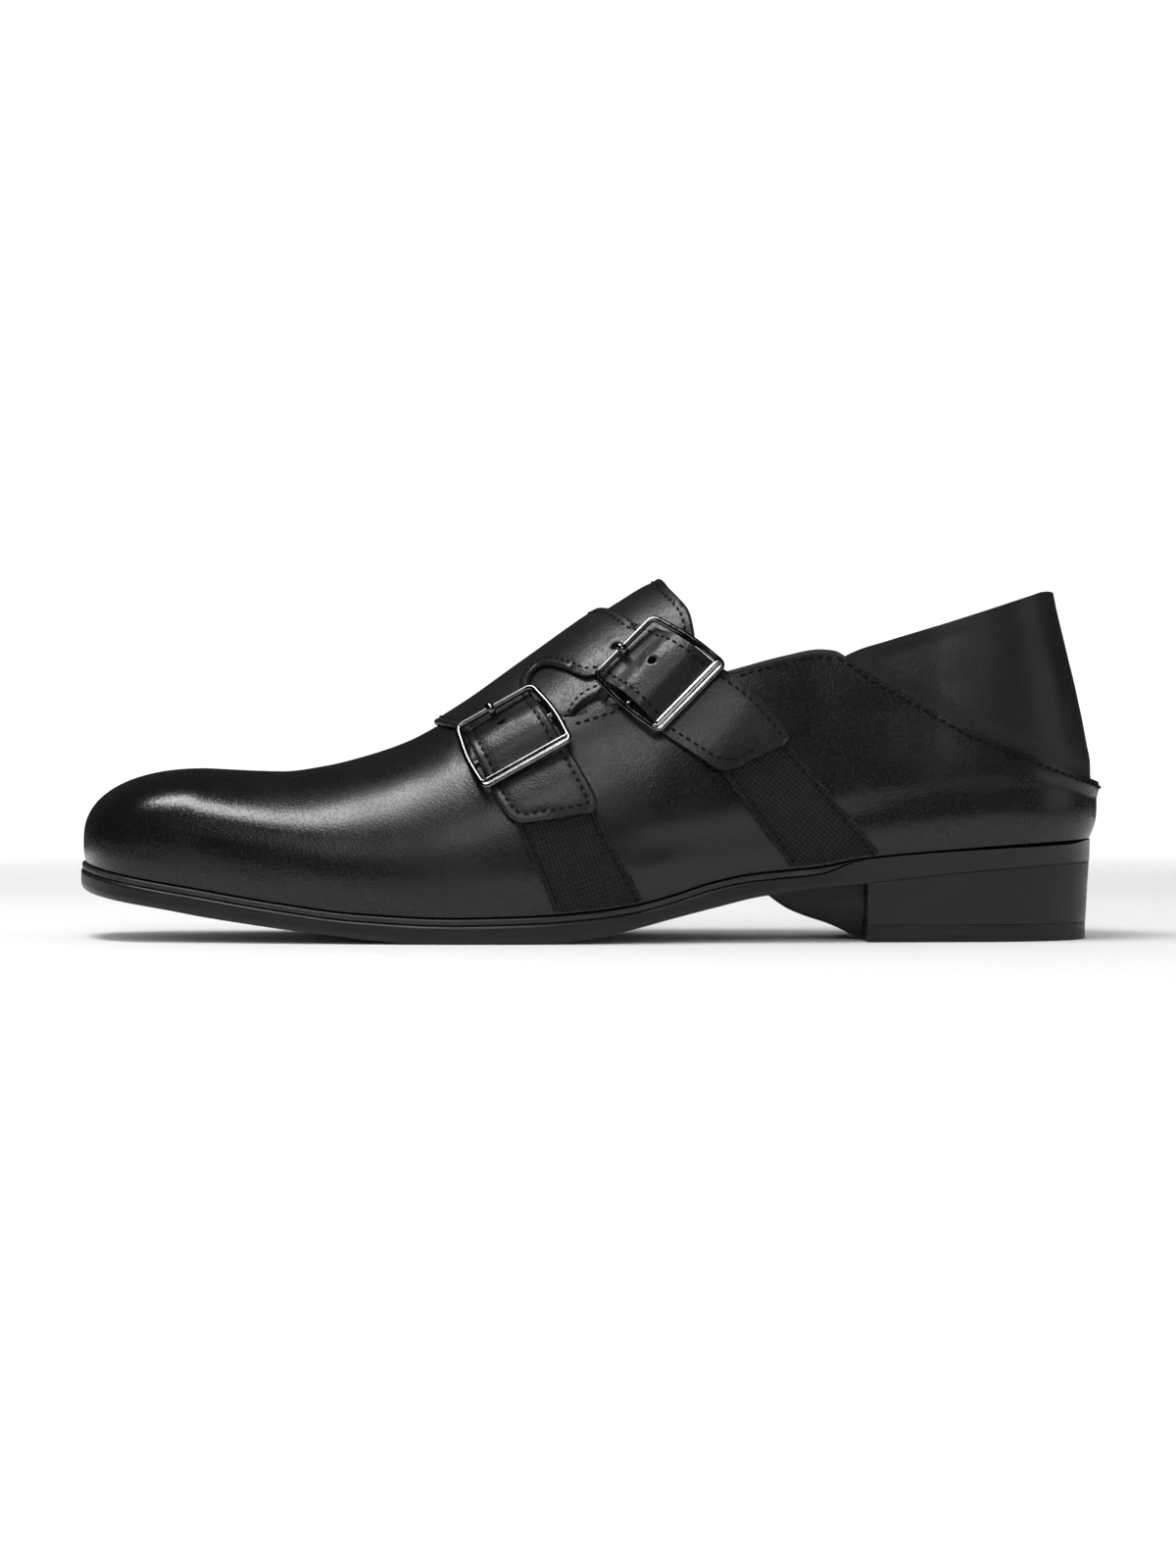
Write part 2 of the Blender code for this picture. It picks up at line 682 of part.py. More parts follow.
def contains(loop, point):
    """Whether a closed loop goes round a point."""
    inside = False
    for a, b in zip(loop, loop[1:] + loop[:1]):
        if (a.y > point.y) != (b.y > point.y):
            if point.x < a.x + (point.y - a.y) * (b.x - a.x) / (b.y - a.y):
                inside = not inside
    return inside


def clearance(loop, point):
    """Distance from a point to a closed loop."""
    nearest = 1e9
    for a, b in zip(loop, loop[1:] + loop[:1]):
        along = b - a
        t = max(0.0, min(1.0, (point - a).dot(along) / max(1e-9, along.length_squared)))
        nearest = min(nearest, (a + along * t - point).length)
    return nearest


def filled(loop, holes, step, ridges):
    """Triangles over a loop and its holes, with inner points on ridges and every step."""
    rims = [loop, *holes]
    points, edges = [], []
    for rim in rims:
        start = len(points)
        points += rim
        edges += [(start + k, start + (k + 1) % len(rim)) for k in range(len(rim))]
    points += ridges
    low_x, high_x = min(p.x for p in loop), max(p.x for p in loop)
    low_y, high_y = min(p.y for p in loop), max(p.y for p in loop)
    row_height = step * math.sqrt(3) / 2

    def within(point):
        return contains(loop, point) and not any(contains(hole, point) for hole in holes)

    for row in range(int((high_y - low_y) / row_height) + 1):
        for place in range(int((high_x - low_x) / step) + 1):
            point = Vector((low_x + (place + 0.5 * (row % 2)) * step, low_y + row * row_height))
            room = min([clearance(rim, point) for rim in rims]
                       + [(ridge - point).length for ridge in ridges])
            if within(point) and room > step * FREE_SHARE:
                points.append(point)
    made = geometry.delaunay_2d_cdt(points, edges, [], 0, 1e-5)
    vertices, faces = made[0], made[2]
    kept = [f for f in faces if within(sum((vertices[i] for i in f), Vector((0, 0))) / 3)]
    return vertices, kept


def patch(name, loop, step, outer, inner, surface_material, holes=(), ridges=()):
    """Wall over a loop of (station, girth), between two distances off the last."""
    flat, faces = filled(loop, holes, step, list(ridges))
    points = [surface(p.x, p.y) for p in flat]
    directions = [normal(p.x, p.y) for p in flat]
    above = [outer(p.x, p.y) for p in flat]
    below = [inner(p.x, p.y) for p in flat]
    faces = [tuple(face) for face in faces]
    solid_from_sheet(name, points, faces, directions, above, below, surface_material)


# ---------------------------------------------------------------- tongue

TONGUE_LAP_X = -1.0       # behind this the quarters lie over the tongue's sides
TONGUE_STEP = 8.0
TONGUE_CURL = 1.4         # the free end levels off below the rising line of the last
TONGUE_CURL_GIRTH = 34.0
# Side view points of the tongue's free end and hidden sides.
TONGUE_END = ((19.8, RIDGE), (22.0, 103.3), (25.3, 99.7), (28.7, 94.8), (30.5, 86.0))
TONGUE_HIDDEN = ((30.5, 86.0), (28.0, 73.0), (20.0, 65.5), (8.0, 61.0), (-1.0, 59.0))


def on_side(points, side, offset=0.0):
    """Side view points (x, z) as (station, girth); RIDGE and FOOT stand for the ends."""
    placed = []
    for x, z in points:
        if z is RIDGE:
            placed.append((x, 0.0))
        elif z is FOOT:
            placed.append((x, side * (GIRTH - FOOT_MARGIN[side])))
        else:
            placed.append((x, girth_at(x, z, side, offset)))
    return placed


def tongue_dip(x, w):
    """How far the tongue sinks to pass inside the quarters."""
    side = LATERAL if w < 0 else MEDIAL
    above_edge = abs(girth_at(x, top_line(x), side)) - abs(w)
    dip = (WALL + GAP) * ease((x - SLIT_X) / 4) * ease((11 - above_edge) / 7)
    curl = TONGUE_CURL * ease((x - 13.0) / 11) * ease(1 - abs(w) / TONGUE_CURL_GIRTH)
    return dip + curl


def tongue_half(side):
    """Outline of one half, from the throat's front round the side to the free end."""
    gap = 0.6
    front = [(THROAT_X + gap, 0.0)]
    for x in (*THROAT_STATIONS[1:], TONGUE_LAP_X):
        front.append((x, side * (abs(girth_at(x, top_line(x), side)) - gap)))
    hidden = on_side(TONGUE_HIDDEN[::-1], side)
    end = on_side(TONGUE_END[::-1], side)
    return front, hidden, end


def make_tongue(leather):
    """Tongue: meets the vamp at the throat cut, its sides inside the quarters."""
    outer_front, outer_hidden, outer_end = tongue_half(LATERAL)
    inner_front, inner_hidden, inner_end = tongue_half(MEDIAL)
    edges = [(outer_front, 0), ([outer_front[-1], outer_hidden[0]], 0), (outer_hidden, 3.0),
             (outer_end, 0), (inner_end[::-1], 3.0), (inner_hidden[::-1], 0),
             ([inner_hidden[0], inner_front[-1]], 0), (inner_front[::-1], 0)]
    loop = closed_outline(edges, TONGUE_STEP)
    patch("tongue", loop, TONGUE_STEP, lambda x, w: -tongue_dip(x, w),
          lambda x, w: -tongue_dip(x, w) - WALL, leather)


# ---------------------------------------------------------------- fold-down back


def make_back_panel(leather):
    """Soft back: tucked inside the quarters below the seam, open and thin above."""
    xs = (BACK_START_X, 71.0, 74.4, 79.8, 86.0, 93.0, HEEL_X)
    ribs = ([side_rib(x, MEDIAL) for x in xs]
            + fan_ribs(heel_outline, HEEL_X, 16, True)
            + [side_rib(x, LATERAL) for x in reversed(xs)])

    def low(rib):
        return rib.share_on(lambda x: min(top_line(x) - BACK_LAP, BACK_FRONT_Z))

    vertices, faces = rib_sheet(ribs, low, lambda rib: rib.share_on(back_edge), 7, False)
    directions = sheet_normals(vertices, faces)
    outer = []
    for v in vertices:
        clear = v.z - top_line(v.x) - 1.0
        outer.append(-(WALL + GAP) + BACK_RISE * ease(clear / 7))
    inner = [o - BACK_THICKNESS for o in outer]
    solid_from_sheet("back_panel", vertices, faces, directions, outer, inner, leather)


# ---------------------------------------------------------------- buckles

FRAME_OFFSET = 4.2        # frame's plane above the last at its two outer bars
FRAME_LENGTH = 26.5
INSTEP_HALF = 12.5        # half breadths of the frame at the bars and between them
MIDDLE_HALF = 14.4
TAIL_HALF = 14.2
INSTEP_BAR = 1.8          # widths of the bars and rails
TAIL_BAR = 3.8
RAIL = 2.0
FRAME_THICKNESS = 1.8
CENTRE_BAR_RADIUS = 0.8
CENTRE_BAR_DROP = 1.1     # below the frame's plane
PRONG_RADIUS = 0.95
PRONG_LENGTH = 4.0
PRONG_SHIFT = 1.2         # from the bar's middle towards the toe
# Middles of the instep bar and the tail bar in side view.
BUCKLE_PLACES = {
    "front": ((-25.7, 66.8), (-17.0, 50.2)),
    "rear": ((9.7, 84.3), (30.6, 69.0)),
}


class Seat:
    """Plane of a buckle: its middle and its directions along, across and out."""

    def __init__(self, instep, tail):
        ends = []
        outs = []
        for x, z in (instep, tail):
            w = girth_at(x, z, LATERAL, FRAME_OFFSET)
            ends.append(shell(x, w, FRAME_OFFSET))
            outs.append(normal(x, w))
        self.along = (ends[1] - ends[0]).normalized()
        self.across = self.along.cross(outs[0] + outs[1]).normalized()
        self.out = self.across.cross(self.along).normalized()
        self.middle = (ends[0] + ends[1]) / 2
        x = (instep[0] + tail[0]) / 2
        w = girth_at(x, self.middle.z, LATERAL, FRAME_OFFSET)
        self.height = (self.middle - surface(x, w)).dot(self.out)

    def place(self, across, along, out):
        """Point given in the buckle's own directions."""
        return self.middle + self.across * across + self.along * along + self.out * out

    def under(self, across, along):
        """Station and girth of the last below a place on the buckle."""
        return nearest_on_last(self.place(across, along, 0.0))

    def local(self, point):
        """Distances across and along from the buckle's middle."""
        return (point - self.middle).dot(self.across), (point - self.middle).dot(self.along)


SEATS = {}


def frame_path():
    """Middle line of the frame's metal, round from the instep bar."""
    end = FRAME_LENGTH / 2
    top, bottom = INSTEP_BAR / 2 - end, end - TAIL_BAR / 2
    near, mid, far = (half - RAIL / 2 for half in (INSTEP_HALF, MIDDLE_HALF, TAIL_HALF))
    edges = [([(-near, top), (near, top)], 2.2),
             ([(near, top), (mid, 0.0), (far, bottom)], 1.8),
             ([(far, bottom), (-far, bottom)], 1.8),
             ([(-far, bottom), (-mid, 0.0), (-near, top)], 2.2)]
    return closed_outline(edges, 5.0)


def rod(name, start, end, radius, sides, surface_material):
    """Round bar between two points, kept out of the build as a part of a union."""
    axis = (end - start).normalized()
    one = axis.orthogonal().normalized()
    two = axis.cross(one)
    vertices, faces = [], []
    for point in (start, end):
        for k in range(sides):
            turn = 2 * math.pi * k / sides
            vertices.append(point + (one * math.cos(turn) + two * math.sin(turn)) * radius)
    for k in range(sides):
        after = (k + 1) % sides
        faces.append((k, after, after + sides, k + sides))
    faces += [tuple(range(sides)), tuple(range(2 * sides - 1, sides - 1, -1))]
    made = add_object(name, vertices, faces, surface_material)
    made.hide_render = True
    made.display_type = "WIRE"
    return made


def make_buckle(which, metal):
    """Frame with its centre bar and prong tip."""
    seat = SEATS[which]
    path = frame_path()
    sides = 8
    vertices, faces = [], []
    for k, point in enumerate(path):
        heading = (path[(k + 1) % len(path)] - path[k - 1]).normalized()
        bar = TAIL_BAR if point.y > 0 else INSTEP_BAR
        half = (heading.x ** 2 * bar + heading.y ** 2 * RAIL) / 2
        side = Vector((heading.y, -heading.x))
        for n in range(sides):
            turn = 2 * math.pi * (n + 0.5) / sides
            spot = point + side * half * math.cos(turn) / math.cos(math.pi / sides)
            lift = FRAME_THICKNESS / 2 * math.sin(turn) / math.cos(math.pi / sides)
            vertices.append(seat.place(spot.x, spot.y, lift))
    for k in range(len(path)):
        here, there = k * sides, (k + 1) % len(path) * sides
        for n in range(sides):
            after = (n + 1) % sides
            faces.append((here + n, here + after, there + after, there + n))
    frame = add_object("buckle_" + which, vertices, faces, metal)
    reach = MIDDLE_HALF - RAIL / 2
    toe_side = -PRONG_SHIFT if seat.across.x > 0 else PRONG_SHIFT
    bar_along = INSTEP_BAR / 2 - FRAME_LENGTH / 2
    parts = (rod("centre_bar_" + which, seat.place(-reach, 0, -CENTRE_BAR_DROP),
                 seat.place(reach, 0, -CENTRE_BAR_DROP), CENTRE_BAR_RADIUS, 8, metal),
             rod("prong_tip_" + which,
                 seat.place(toe_side, bar_along - PRONG_LENGTH / 2, FRAME_THICKNESS / 2 - 0.1),
                 seat.place(toe_side, bar_along + PRONG_LENGTH / 2, FRAME_THICKNESS / 2 - 0.1),
                 PRONG_RADIUS, 8, metal))
    for part in parts:
        joint = frame.modifiers.new(part.name, "BOOLEAN")
        joint.operation = "UNION"
        joint.object = part


# ---------------------------------------------------------------- straps and elastics

STRAP_THICKNESS = 1.6
STRAP_OUT = GAP + STRAP_THICKNESS
ELASTIC_THICKNESS = 1.1
ELASTIC_OUT = GAP + ELASTIC_THICKNESS
ARCH_TOP = 3.6            # the strap arches over a centre bar: half lengths of the arch's
ARCH_FOOT = 9.6           # level top and of its foot
ARCH_SPARE = 0.25         # clearance added over the bar, as the strap is faceted
ARCH_RIDGE = 2.4          # the arch's top is drawn by points at this distance from the bar
ARCH_ACROSS = (-8.0, -2.9, 2.9, 8.0)
TAIL_RISE = {"front": 16.0, "rear": 21.0}   # from the centre bar to where the tail lifts
TAIL_RISE_RUN = 6.0
STRAP_STEP = 5.2
ELASTIC_STEP = 4.5
HOLE_RADIUS = 1.4

# Strap panel in side view, from the inner side's foot over the ridge and back.
PANEL_FRONT_INNER = ((-17.0, FOOT), (-21.5, 25.0), (-30.0, 42.0), (-37.5, 55.5), (-42.0, 62.8))
PANEL_FRONT_OUTER = ((-44.5, RIDGE), (-41.5, 63.0))
FRONT_TAIL_END = ((-20.8, 33.5), (4.0, 37.5))
BETWEEN_STRAPS = ((-16.4, 76.3), (-13.4, 79.9), (-7.7, 79.2), (-1.5, 76.4))
REAR_TAIL_END = ((38.0, 47.3), (58.3, 57.5))
PANEL_REAR_OUTER = ((12.2, 92.7),)
PANEL_REAR_INNER = ((3.2, RIDGE), (8.0, 92.0), (14.0, 80.0), (22.7, 62.0), (37.0, 45.0),
                    (46.0, 30.0), (50.0, FOOT))
# Half breadth of a strap where it passes through its frame, over distance along it.
WINDOW_ROWS = ((-14.5, 10.5), (-9.5, 10.4), (0.0, 10.8), (9.5, 10.7), (15.0, 11.6))
HOLE_PLACES = ((-0.5, -5.0), (-0.5, -16.6))   # across and along, from the buckle's middle
# Elastic tapes in side view: forward edge and rear edge, each from the foot up.
ELASTIC_EDGES = {
    "front": (((-9.3, FOOT), (-20.6, 35.5)), ((15.2, FOOT), (-0.6, 42.0))),
    "rear": (((57.0, FOOT), (35.6, 51.4)), ((82.5, FOOT), (52.6, 60.5))),
}
EDGE_PARTS = 6


def straight_side(start, end):
    """Points of a straight line in side view as (station, girth), from the foot up."""
    low = side_rib(start[0], LATERAL).point(FOOT_MARGIN[LATERAL] / GIRTH).z
    places = []
    for k in range(EDGE_PARTS + 1):
        t = k / EDGE_PARTS
        places.append((start[0] + (end[0] - start[0]) * t, low + (end[1] - low) * t))
    return on_side([start, *places[1:]], LATERAL, ELASTIC_OUT)


def strap_lift(x, w):
    """How far the straps stand off: over the centre bars and over the elastics."""
    if w > 0:
        return 0.0
    point = shell(x, w, GAP)
    lift = 0.0
    for which, seat in SEATS.items():
        across, along = seat.local(point)
        if abs(across) > 16 or abs(along) > 45:
            continue
        fade = ease((16 - abs(across)) / 2.5)
        arch = seat.height - CENTRE_BAR_DROP + CENTRE_BAR_RADIUS + ARCH_SPARE
        share = (ARCH_FOOT - abs(along)) / (ARCH_FOOT - ARCH_TOP)
        lift += fade * arch * min(1.0, max(0.0, share))
        lift += fade * ELASTIC_OUT * ease((along - TAIL_RISE[which]) / TAIL_RISE_RUN)
    return lift


def window_edge(which, side):
    """Edge of a strap inside its frame, from the instep bar to the tail bar."""
    seat = SEATS[which]
    return [seat.under(side * half, along) for along, half in WINDOW_ROWS]


def make_strap_panel(leather):
    """Panel over the instep with the two straps, their tails and punched holes."""
    toeward = 1 if SEATS["front"].across.x < 0 else -1
    front = (on_side(PANEL_FRONT_INNER, MEDIAL, STRAP_OUT)
             + on_side(PANEL_FRONT_OUTER, LATERAL, STRAP_OUT)
             + window_edge("front", toeward)
             + on_side(FRONT_TAIL_END[:1], LATERAL, STRAP_OUT))
    between = (on_side(FRONT_TAIL_END[1:], LATERAL, STRAP_OUT)
               + window_edge("front", -toeward)[::-1]
               + on_side(BETWEEN_STRAPS, LATERAL, STRAP_OUT)
               + window_edge("rear", toeward)
               + on_side(REAR_TAIL_END[:1], LATERAL, STRAP_OUT))
    rear = (on_side(REAR_TAIL_END[1:], LATERAL, STRAP_OUT)
            + window_edge("rear", -toeward)[::-1]
            + on_side(PANEL_REAR_OUTER, LATERAL, STRAP_OUT)
            + on_side(PANEL_REAR_INNER, MEDIAL, STRAP_OUT))
    edges = [(front, 4.5),
             (on_side(FRONT_TAIL_END, LATERAL, STRAP_OUT), 4.5),
             (between, 4.5),
             (on_side(REAR_TAIL_END, LATERAL, STRAP_OUT), 4.5),
             (rear, 0),
             ([rear[-1], front[0]], 0)]
    loop = closed_outline(edges, STRAP_STEP)
    holes, ridges = [], []
    for seat in SEATS.values():
        ridges += [Vector(seat.under(across, along))
                   for across in ARCH_ACROSS for along in (-ARCH_RIDGE, ARCH_RIDGE)]
        for across, along in HOLE_PLACES:
            x, w = seat.under(across, along)
            turns = [2 * math.pi * k / 8 for k in range(8)]
            holes.append([Vector((x + HOLE_RADIUS * math.cos(t), w + HOLE_RADIUS * math.sin(t)))
                          for t in turns])
    patch("strap_panel", loop, STRAP_STEP, lambda x, w: STRAP_OUT + strap_lift(x, w),
          lambda x, w: GAP + strap_lift(x, w), leather, holes, ridges)


def make_elastic(which, tape):
    """Elastic tape from under a tail down to the sole."""
    forward, rear = (straight_side(*ends) for ends in ELASTIC_EDGES[which])
    edges = [(forward, 0), ([forward[-1], rear[-1]], 0), (rear[::-1], 0),
             ([rear[0], forward[0]], 0)]
    loop = closed_outline(edges, ELASTIC_STEP)
    patch("elastic_" + which, loop, ELASTIC_STEP, lambda x, w: ELASTIC_OUT,
          lambda x, w: GAP, tape)


# ---------------------------------------------------------------- scene


def centre_on_origin():
    """Move every piece so that the whole stands over the origin."""
    pieces = [piece for piece in bpy.data.objects if not piece.hide_render]
    for axis in (0, 1):
        places = [v.co[axis] for piece in pieces for v in piece.data.vertices]
        middle = (min(places) + max(places)) / 2
        for piece in bpy.data.objects:
            piece.location[axis] = -middle


for old in list(bpy.data.objects):
    bpy.data.objects.remove(old, do_unlink=True)

BLACK_LEATHER = material("black_leather", (0.012, 0.012, 0.013), 0.42)
SOLE_LEATHER = material("sole_leather", (0.014, 0.013, 0.013), 0.5)
INSOLE_LEATHER = material("insole_leather", (0.03, 0.03, 0.03), 0.55)
ELASTIC = material("elastic", (0.008, 0.008, 0.009), 0.85)
METAL = material("buckle_metal", (0.42, 0.42, 0.44), 0.16, 1.0)

make_sole(SOLE_LEATHER, INSOLE_LEATHER)
make_heel(SOLE_LEATHER)
make_upper(BLACK_LEATHER)
make_tongue(BLACK_LEATHER)
make_back_panel(BLACK_LEATHER)
for place, (instep_bar, tail_bar) in BUCKLE_PLACES.items():
    SEATS[place] = Seat(instep_bar, tail_bar)
make_strap_panel(BLACK_LEATHER)
for place in SEATS:
    make_elastic(place, ELASTIC)
    make_buckle(place, METAL)
centre_on_origin()
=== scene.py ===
"""Looks of the buckle loafer: a left double monk-strap slip-on with a fold-down back.

Toe at -X, heel at +X, outer (buckle) side at -Y. Lengths in tables are millimetres.
"""

import math

import bmesh
import bpy
import numpy as np
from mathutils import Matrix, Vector, geometry, noise
from numpy.linalg import norm


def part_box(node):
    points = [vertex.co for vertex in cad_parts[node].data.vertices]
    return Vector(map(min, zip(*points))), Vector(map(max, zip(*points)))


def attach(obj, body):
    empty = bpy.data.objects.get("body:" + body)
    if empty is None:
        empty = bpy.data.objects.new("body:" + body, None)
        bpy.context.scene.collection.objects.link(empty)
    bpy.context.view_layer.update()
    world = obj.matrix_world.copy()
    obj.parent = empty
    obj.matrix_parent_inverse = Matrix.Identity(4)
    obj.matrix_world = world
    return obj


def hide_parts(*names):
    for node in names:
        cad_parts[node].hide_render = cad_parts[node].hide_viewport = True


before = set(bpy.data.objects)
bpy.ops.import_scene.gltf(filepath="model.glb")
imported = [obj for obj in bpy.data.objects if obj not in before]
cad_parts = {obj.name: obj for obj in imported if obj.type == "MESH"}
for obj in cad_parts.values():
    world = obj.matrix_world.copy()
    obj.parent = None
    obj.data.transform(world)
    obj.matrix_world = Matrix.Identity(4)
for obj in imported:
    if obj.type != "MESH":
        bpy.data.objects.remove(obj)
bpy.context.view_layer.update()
MM = 0.001
LATERAL, MEDIAL = -1, 1
SIDE_NAMES = {LATERAL: "outer", MEDIAL: "inner"}

# ---- sizes of the last

TOE_X, HEEL_X, HEEL_BACK, BREAST_X = -112, 100, 150, 79.5
WALL, GAP, SEAT_GAP = 1.8, 0.35, 0.3
# station, lateral and medial half breadth, their tucks, rise of the widest point,
# middle, height of the crown, roundness
SECTION_ROWS = (
    (-112, 34.6, 37.4, 0.8, 0.8, 8, 4, 49.8, 2.60),
    (-90, 38.4, 41.4, 0.9, 0.9, 8.5, 5, 48.9, 2.35),
    (-77.5, 40.3, 43.2, 1, 1, 9, 5, 50.5, 2.15),
    (-64.5, 42, 44.4, 1.1, 1.1, 9.5, 5, 53.7, 2.05),
    (-51.5, 43.6, 44.9, 1.2, 1.3, 10, 4.5, 58.4, 1.97),
    (-38, 44.6, 44.9, 1.3, 1.6, 10.5, 4, 66, 1.93),
    (-19, 44.9, 44, 1.8, 2.4, 11.5, 3, 79.3, 1.90),
    (0, 44, 42.4, 2.6, 4.2, 12.5, 2, 92.8, 1.86),
    (18.5, 42, 41.2, 3.4, 6.2, 13.5, 2, 105, 1.83),
    (30, 40.3, 40.2, 3.8, 7.2, 14, 2, 115, 1.75),
    (49, 37.4, 39, 3.8, 7.4, 14.5, 2.2, 135, 1.58),
    (66, 35, 38.2, 3.2, 5.6, 15, 2.5, 148, 1.44),
    (85, 33.2, 37.6, 2.6, 3.4, 14, 2.5, 165, 1.29),
    (100, 32.4, 37, 2.4, 2.6, 13.5, 2.5, 173, 1.21),
)
FOOT_ROWS = ((-150, 23.2), (-147, 22.4), (-128, 18.5), (-112, 15.8), (-90, 12.1),
             (-64.5, 8.8), (-38, 7.6), (-19, 8), (0, 9.3), (13.5, 11.2), (24, 13.9),
             (35, 17.4), (45, 19.6), (56, 20.8), (66, 21.8), (77, 23.9),
             (98, 26), (119, 27.6), (150, 29.5))
TOE_REACH, TOE_SLANT, TOE_ROUND, TOE_SQUARENESS, TOE_TAPER = 36.3, 5, 5.5, 5, 0.175
TOE_TUCK, TOE_RISE, TOE_POWER = 0.7, 6.5, 2.25
HEEL_SQUARENESS, HEEL_TUCK, HEEL_RISE, HEEL_CROWN, HEEL_POWER = 2.35, 3.1, 13, 205, 1.2
THROAT_X, SLIT_X = -38, -5
TOP_LINE_ROWS = ((-38, 66), (-30, 65.4), (-18, 65), (-5, 64), (0, 65.2),
                 (10, 68.4), (20, 71.4), (30, 74.2), (40.8, 77.2), (56.3, 81.4),
                 (66, 83.2), (70, 82.9), (74.4, 80.5), (80, 76.5), (88.3, 71.7),
                 (96.9, 66.8), (107.5, 60.8), (120.3, 55.2), (132.7, 50.7), (143, 47.2),
                 (150.5, 45.2))
BACK_EDGE_ROWS = ((68, 77), (71, 79.8), (74.4, 82.2), (86, 86), (99.4, 90.1),
                  (117, 95.6), (128, 99.1), (134.5, 101), (140, 101.3))
BACK_LAP, BACK_FRONT_Z, BACK_THICKNESS, BACK_START_X, BACK_RISE = 6, 72, 1.6, 68, 1.3
LEDGE_ROWS = ((-150, 1.3), (-38, 1.2), (20, 0.9), (66, 0.8), (100, 0.5), (150, 0.3))
UNDERSIDE_ROWS = ((-150, 14.9), (-141, 12.9), (-119, 9.2), (-109, 7.4), (-90, 4.6),
                  (-71, 2.2), (-57, 0.7), (-47, 0), (-10, 0), (2.5, 1.6),
                  (13.5, 4.2), (24, 7), (35, 9.8), (49.5, 13.2), (79, 16.8),
                  (100, 19.2), (125, 21.4), (150, 22.8))
MIDSOLE_THICKNESS, INSOLE_THICKNESS = 2, 3
SEAT_STEP_X, TOP_LIFT_HEIGHT, HEEL_TAPER = 78, 5, 1.6

# ---- smooth functions


def curve(rows, column=1):
    """Cubic through a table without overshoot, level beyond its ends."""
    xs = np.array([row[0] for row in rows])
    ys = np.array([row[column] for row in rows])
    chord = np.diff(ys) / np.diff(xs)
    slope = np.zeros(len(xs))
    slope[0], slope[-1] = chord[0], chord[-1]
    both = chord[:-1] * chord[1:]
    slope[1:-1] = np.where(both > 0, 2 * both / np.where(both > 0, chord[:-1] + chord[1:], 1), 0)

    def value(x):
        x = np.clip(np.asarray(x, float), xs[0], xs[-1])
        i = np.clip(np.searchsorted(xs, x, side="right") - 1, 0, len(xs) - 2)
        width = xs[i + 1] - xs[i]
        t = (x - xs[i]) / width
        rise = t * t * (3 - 2 * t)
        return (ys[i] * (1 - rise) + ys[i + 1] * rise + t * (1 - t) ** 2 * width * slope[i]
                + t * t * (t - 1) * width * slope[i + 1])
    return value


def ease(t):
    """0 to 1 with level ends."""
    t = np.clip(t, 0, 1)
    return t * t * (3 - 2 * t)


def unit(v):
    """Vectors scaled to length one."""
    return v / np.maximum(norm(v, axis=-1, keepdims=True), 1e-12)


(breadth_lateral, breadth_medial, tuck_lateral, tuck_medial, rise_at, middle_at, crown_at,
 power_at) = (curve(SECTION_ROWS, column) for column in range(1, 9))
foot_height, top_line, back_edge, ledge, underside = map(curve, (
    FOOT_ROWS, TOP_LINE_ROWS, BACK_EDGE_ROWS, LEDGE_ROWS, UNDERSIDE_ROWS))


def run_of(points):
    """Distance from the start to each point of a line."""
    return np.concatenate([[0], np.cumsum(norm(np.diff(points, axis=0), axis=1))])


def circle(count, shift=0):
    """Cosines and sines evenly round a circle."""
    turn = 2 * math.pi * (np.arange(count) + shift) / count
    return np.cos(turn), np.sin(turn)


WIDE_AT = 0.25                        # share of a rib at which it is widest


class Ribs:
    """Upright sections of the last, from the bottom edge out to the widest and up."""

    def __init__(self, centre, direction, wide, tuck, rise, crown_z, power):
        self.values = (centre, direction, wide, tuck, rise, crown_z, power)
        self.centre, self.direction, self.wide = centre, direction, wide
        self.foot, self.crown_z, self.power = wide - tuck, crown_z, power
        self.foot_z = foot_height(centre[:, 0] + direction[:, 0] * self.foot)
        self.wide_z = self.foot_z + rise

    def point(self, u):
        """Places at share u of each rib; u may have a second axis."""
        u = np.asarray(u, float)
        lift = (slice(None),) + (None,) * (u.ndim - 1)
        wide, foot, power, wide_z, foot_z, crown_z = (values[lift] for values in (
            self.wide, self.foot, self.power, self.wide_z, self.foot_z, self.crown_z))
        t = np.clip(u / WIDE_AT, 0, 1)
        angle = np.clip((u - WIDE_AT) / (1 - WIDE_AT), 0, 1) * math.pi / 2
        low = u <= WIDE_AT
        out = np.maximum(np.cos(angle), 0) ** (2 / power)
        up = np.sin(angle) ** (2 / power)
        reach = np.where(low, foot + (wide - foot) * (1 - (1 - t) ** 2), wide * out)
        z = np.where(low, foot_z + (wide_z - foot_z) * t, wide_z + (crown_z - wide_z) * up)
        return np.stack([*(self.centre[:, c][lift] + self.direction[:, c][lift] * reach
                           for c in (0, 1)), z], -1)

    def share_at(self, z):
        """Share of each rib at height z."""
        low = WIDE_AT * np.maximum(z - self.foot_z, 0) / (self.wide_z - self.foot_z)
        up = np.clip((z - self.wide_z) / (self.crown_z - self.wide_z), 0, 1)
        high = WIDE_AT + (1 - WIDE_AT) * np.arcsin(up ** (self.power / 2)) * 2 / math.pi
        return np.where(z <= self.wide_z, low, high)

    def share_on(self, line):
        """Share where each rib meets a line drawn in side view."""
        z = line(self.point(np.full(len(self.wide), WIDE_AT))[:, 0])
        for _ in range(8):
            z = line(self.point(self.share_at(z))[:, 0])
        return self.share_at(z)


def join(*runs):
    """One run of ribs from several."""
    return Ribs(*[np.concatenate(values) for values in zip(*[run.values for run in runs])])


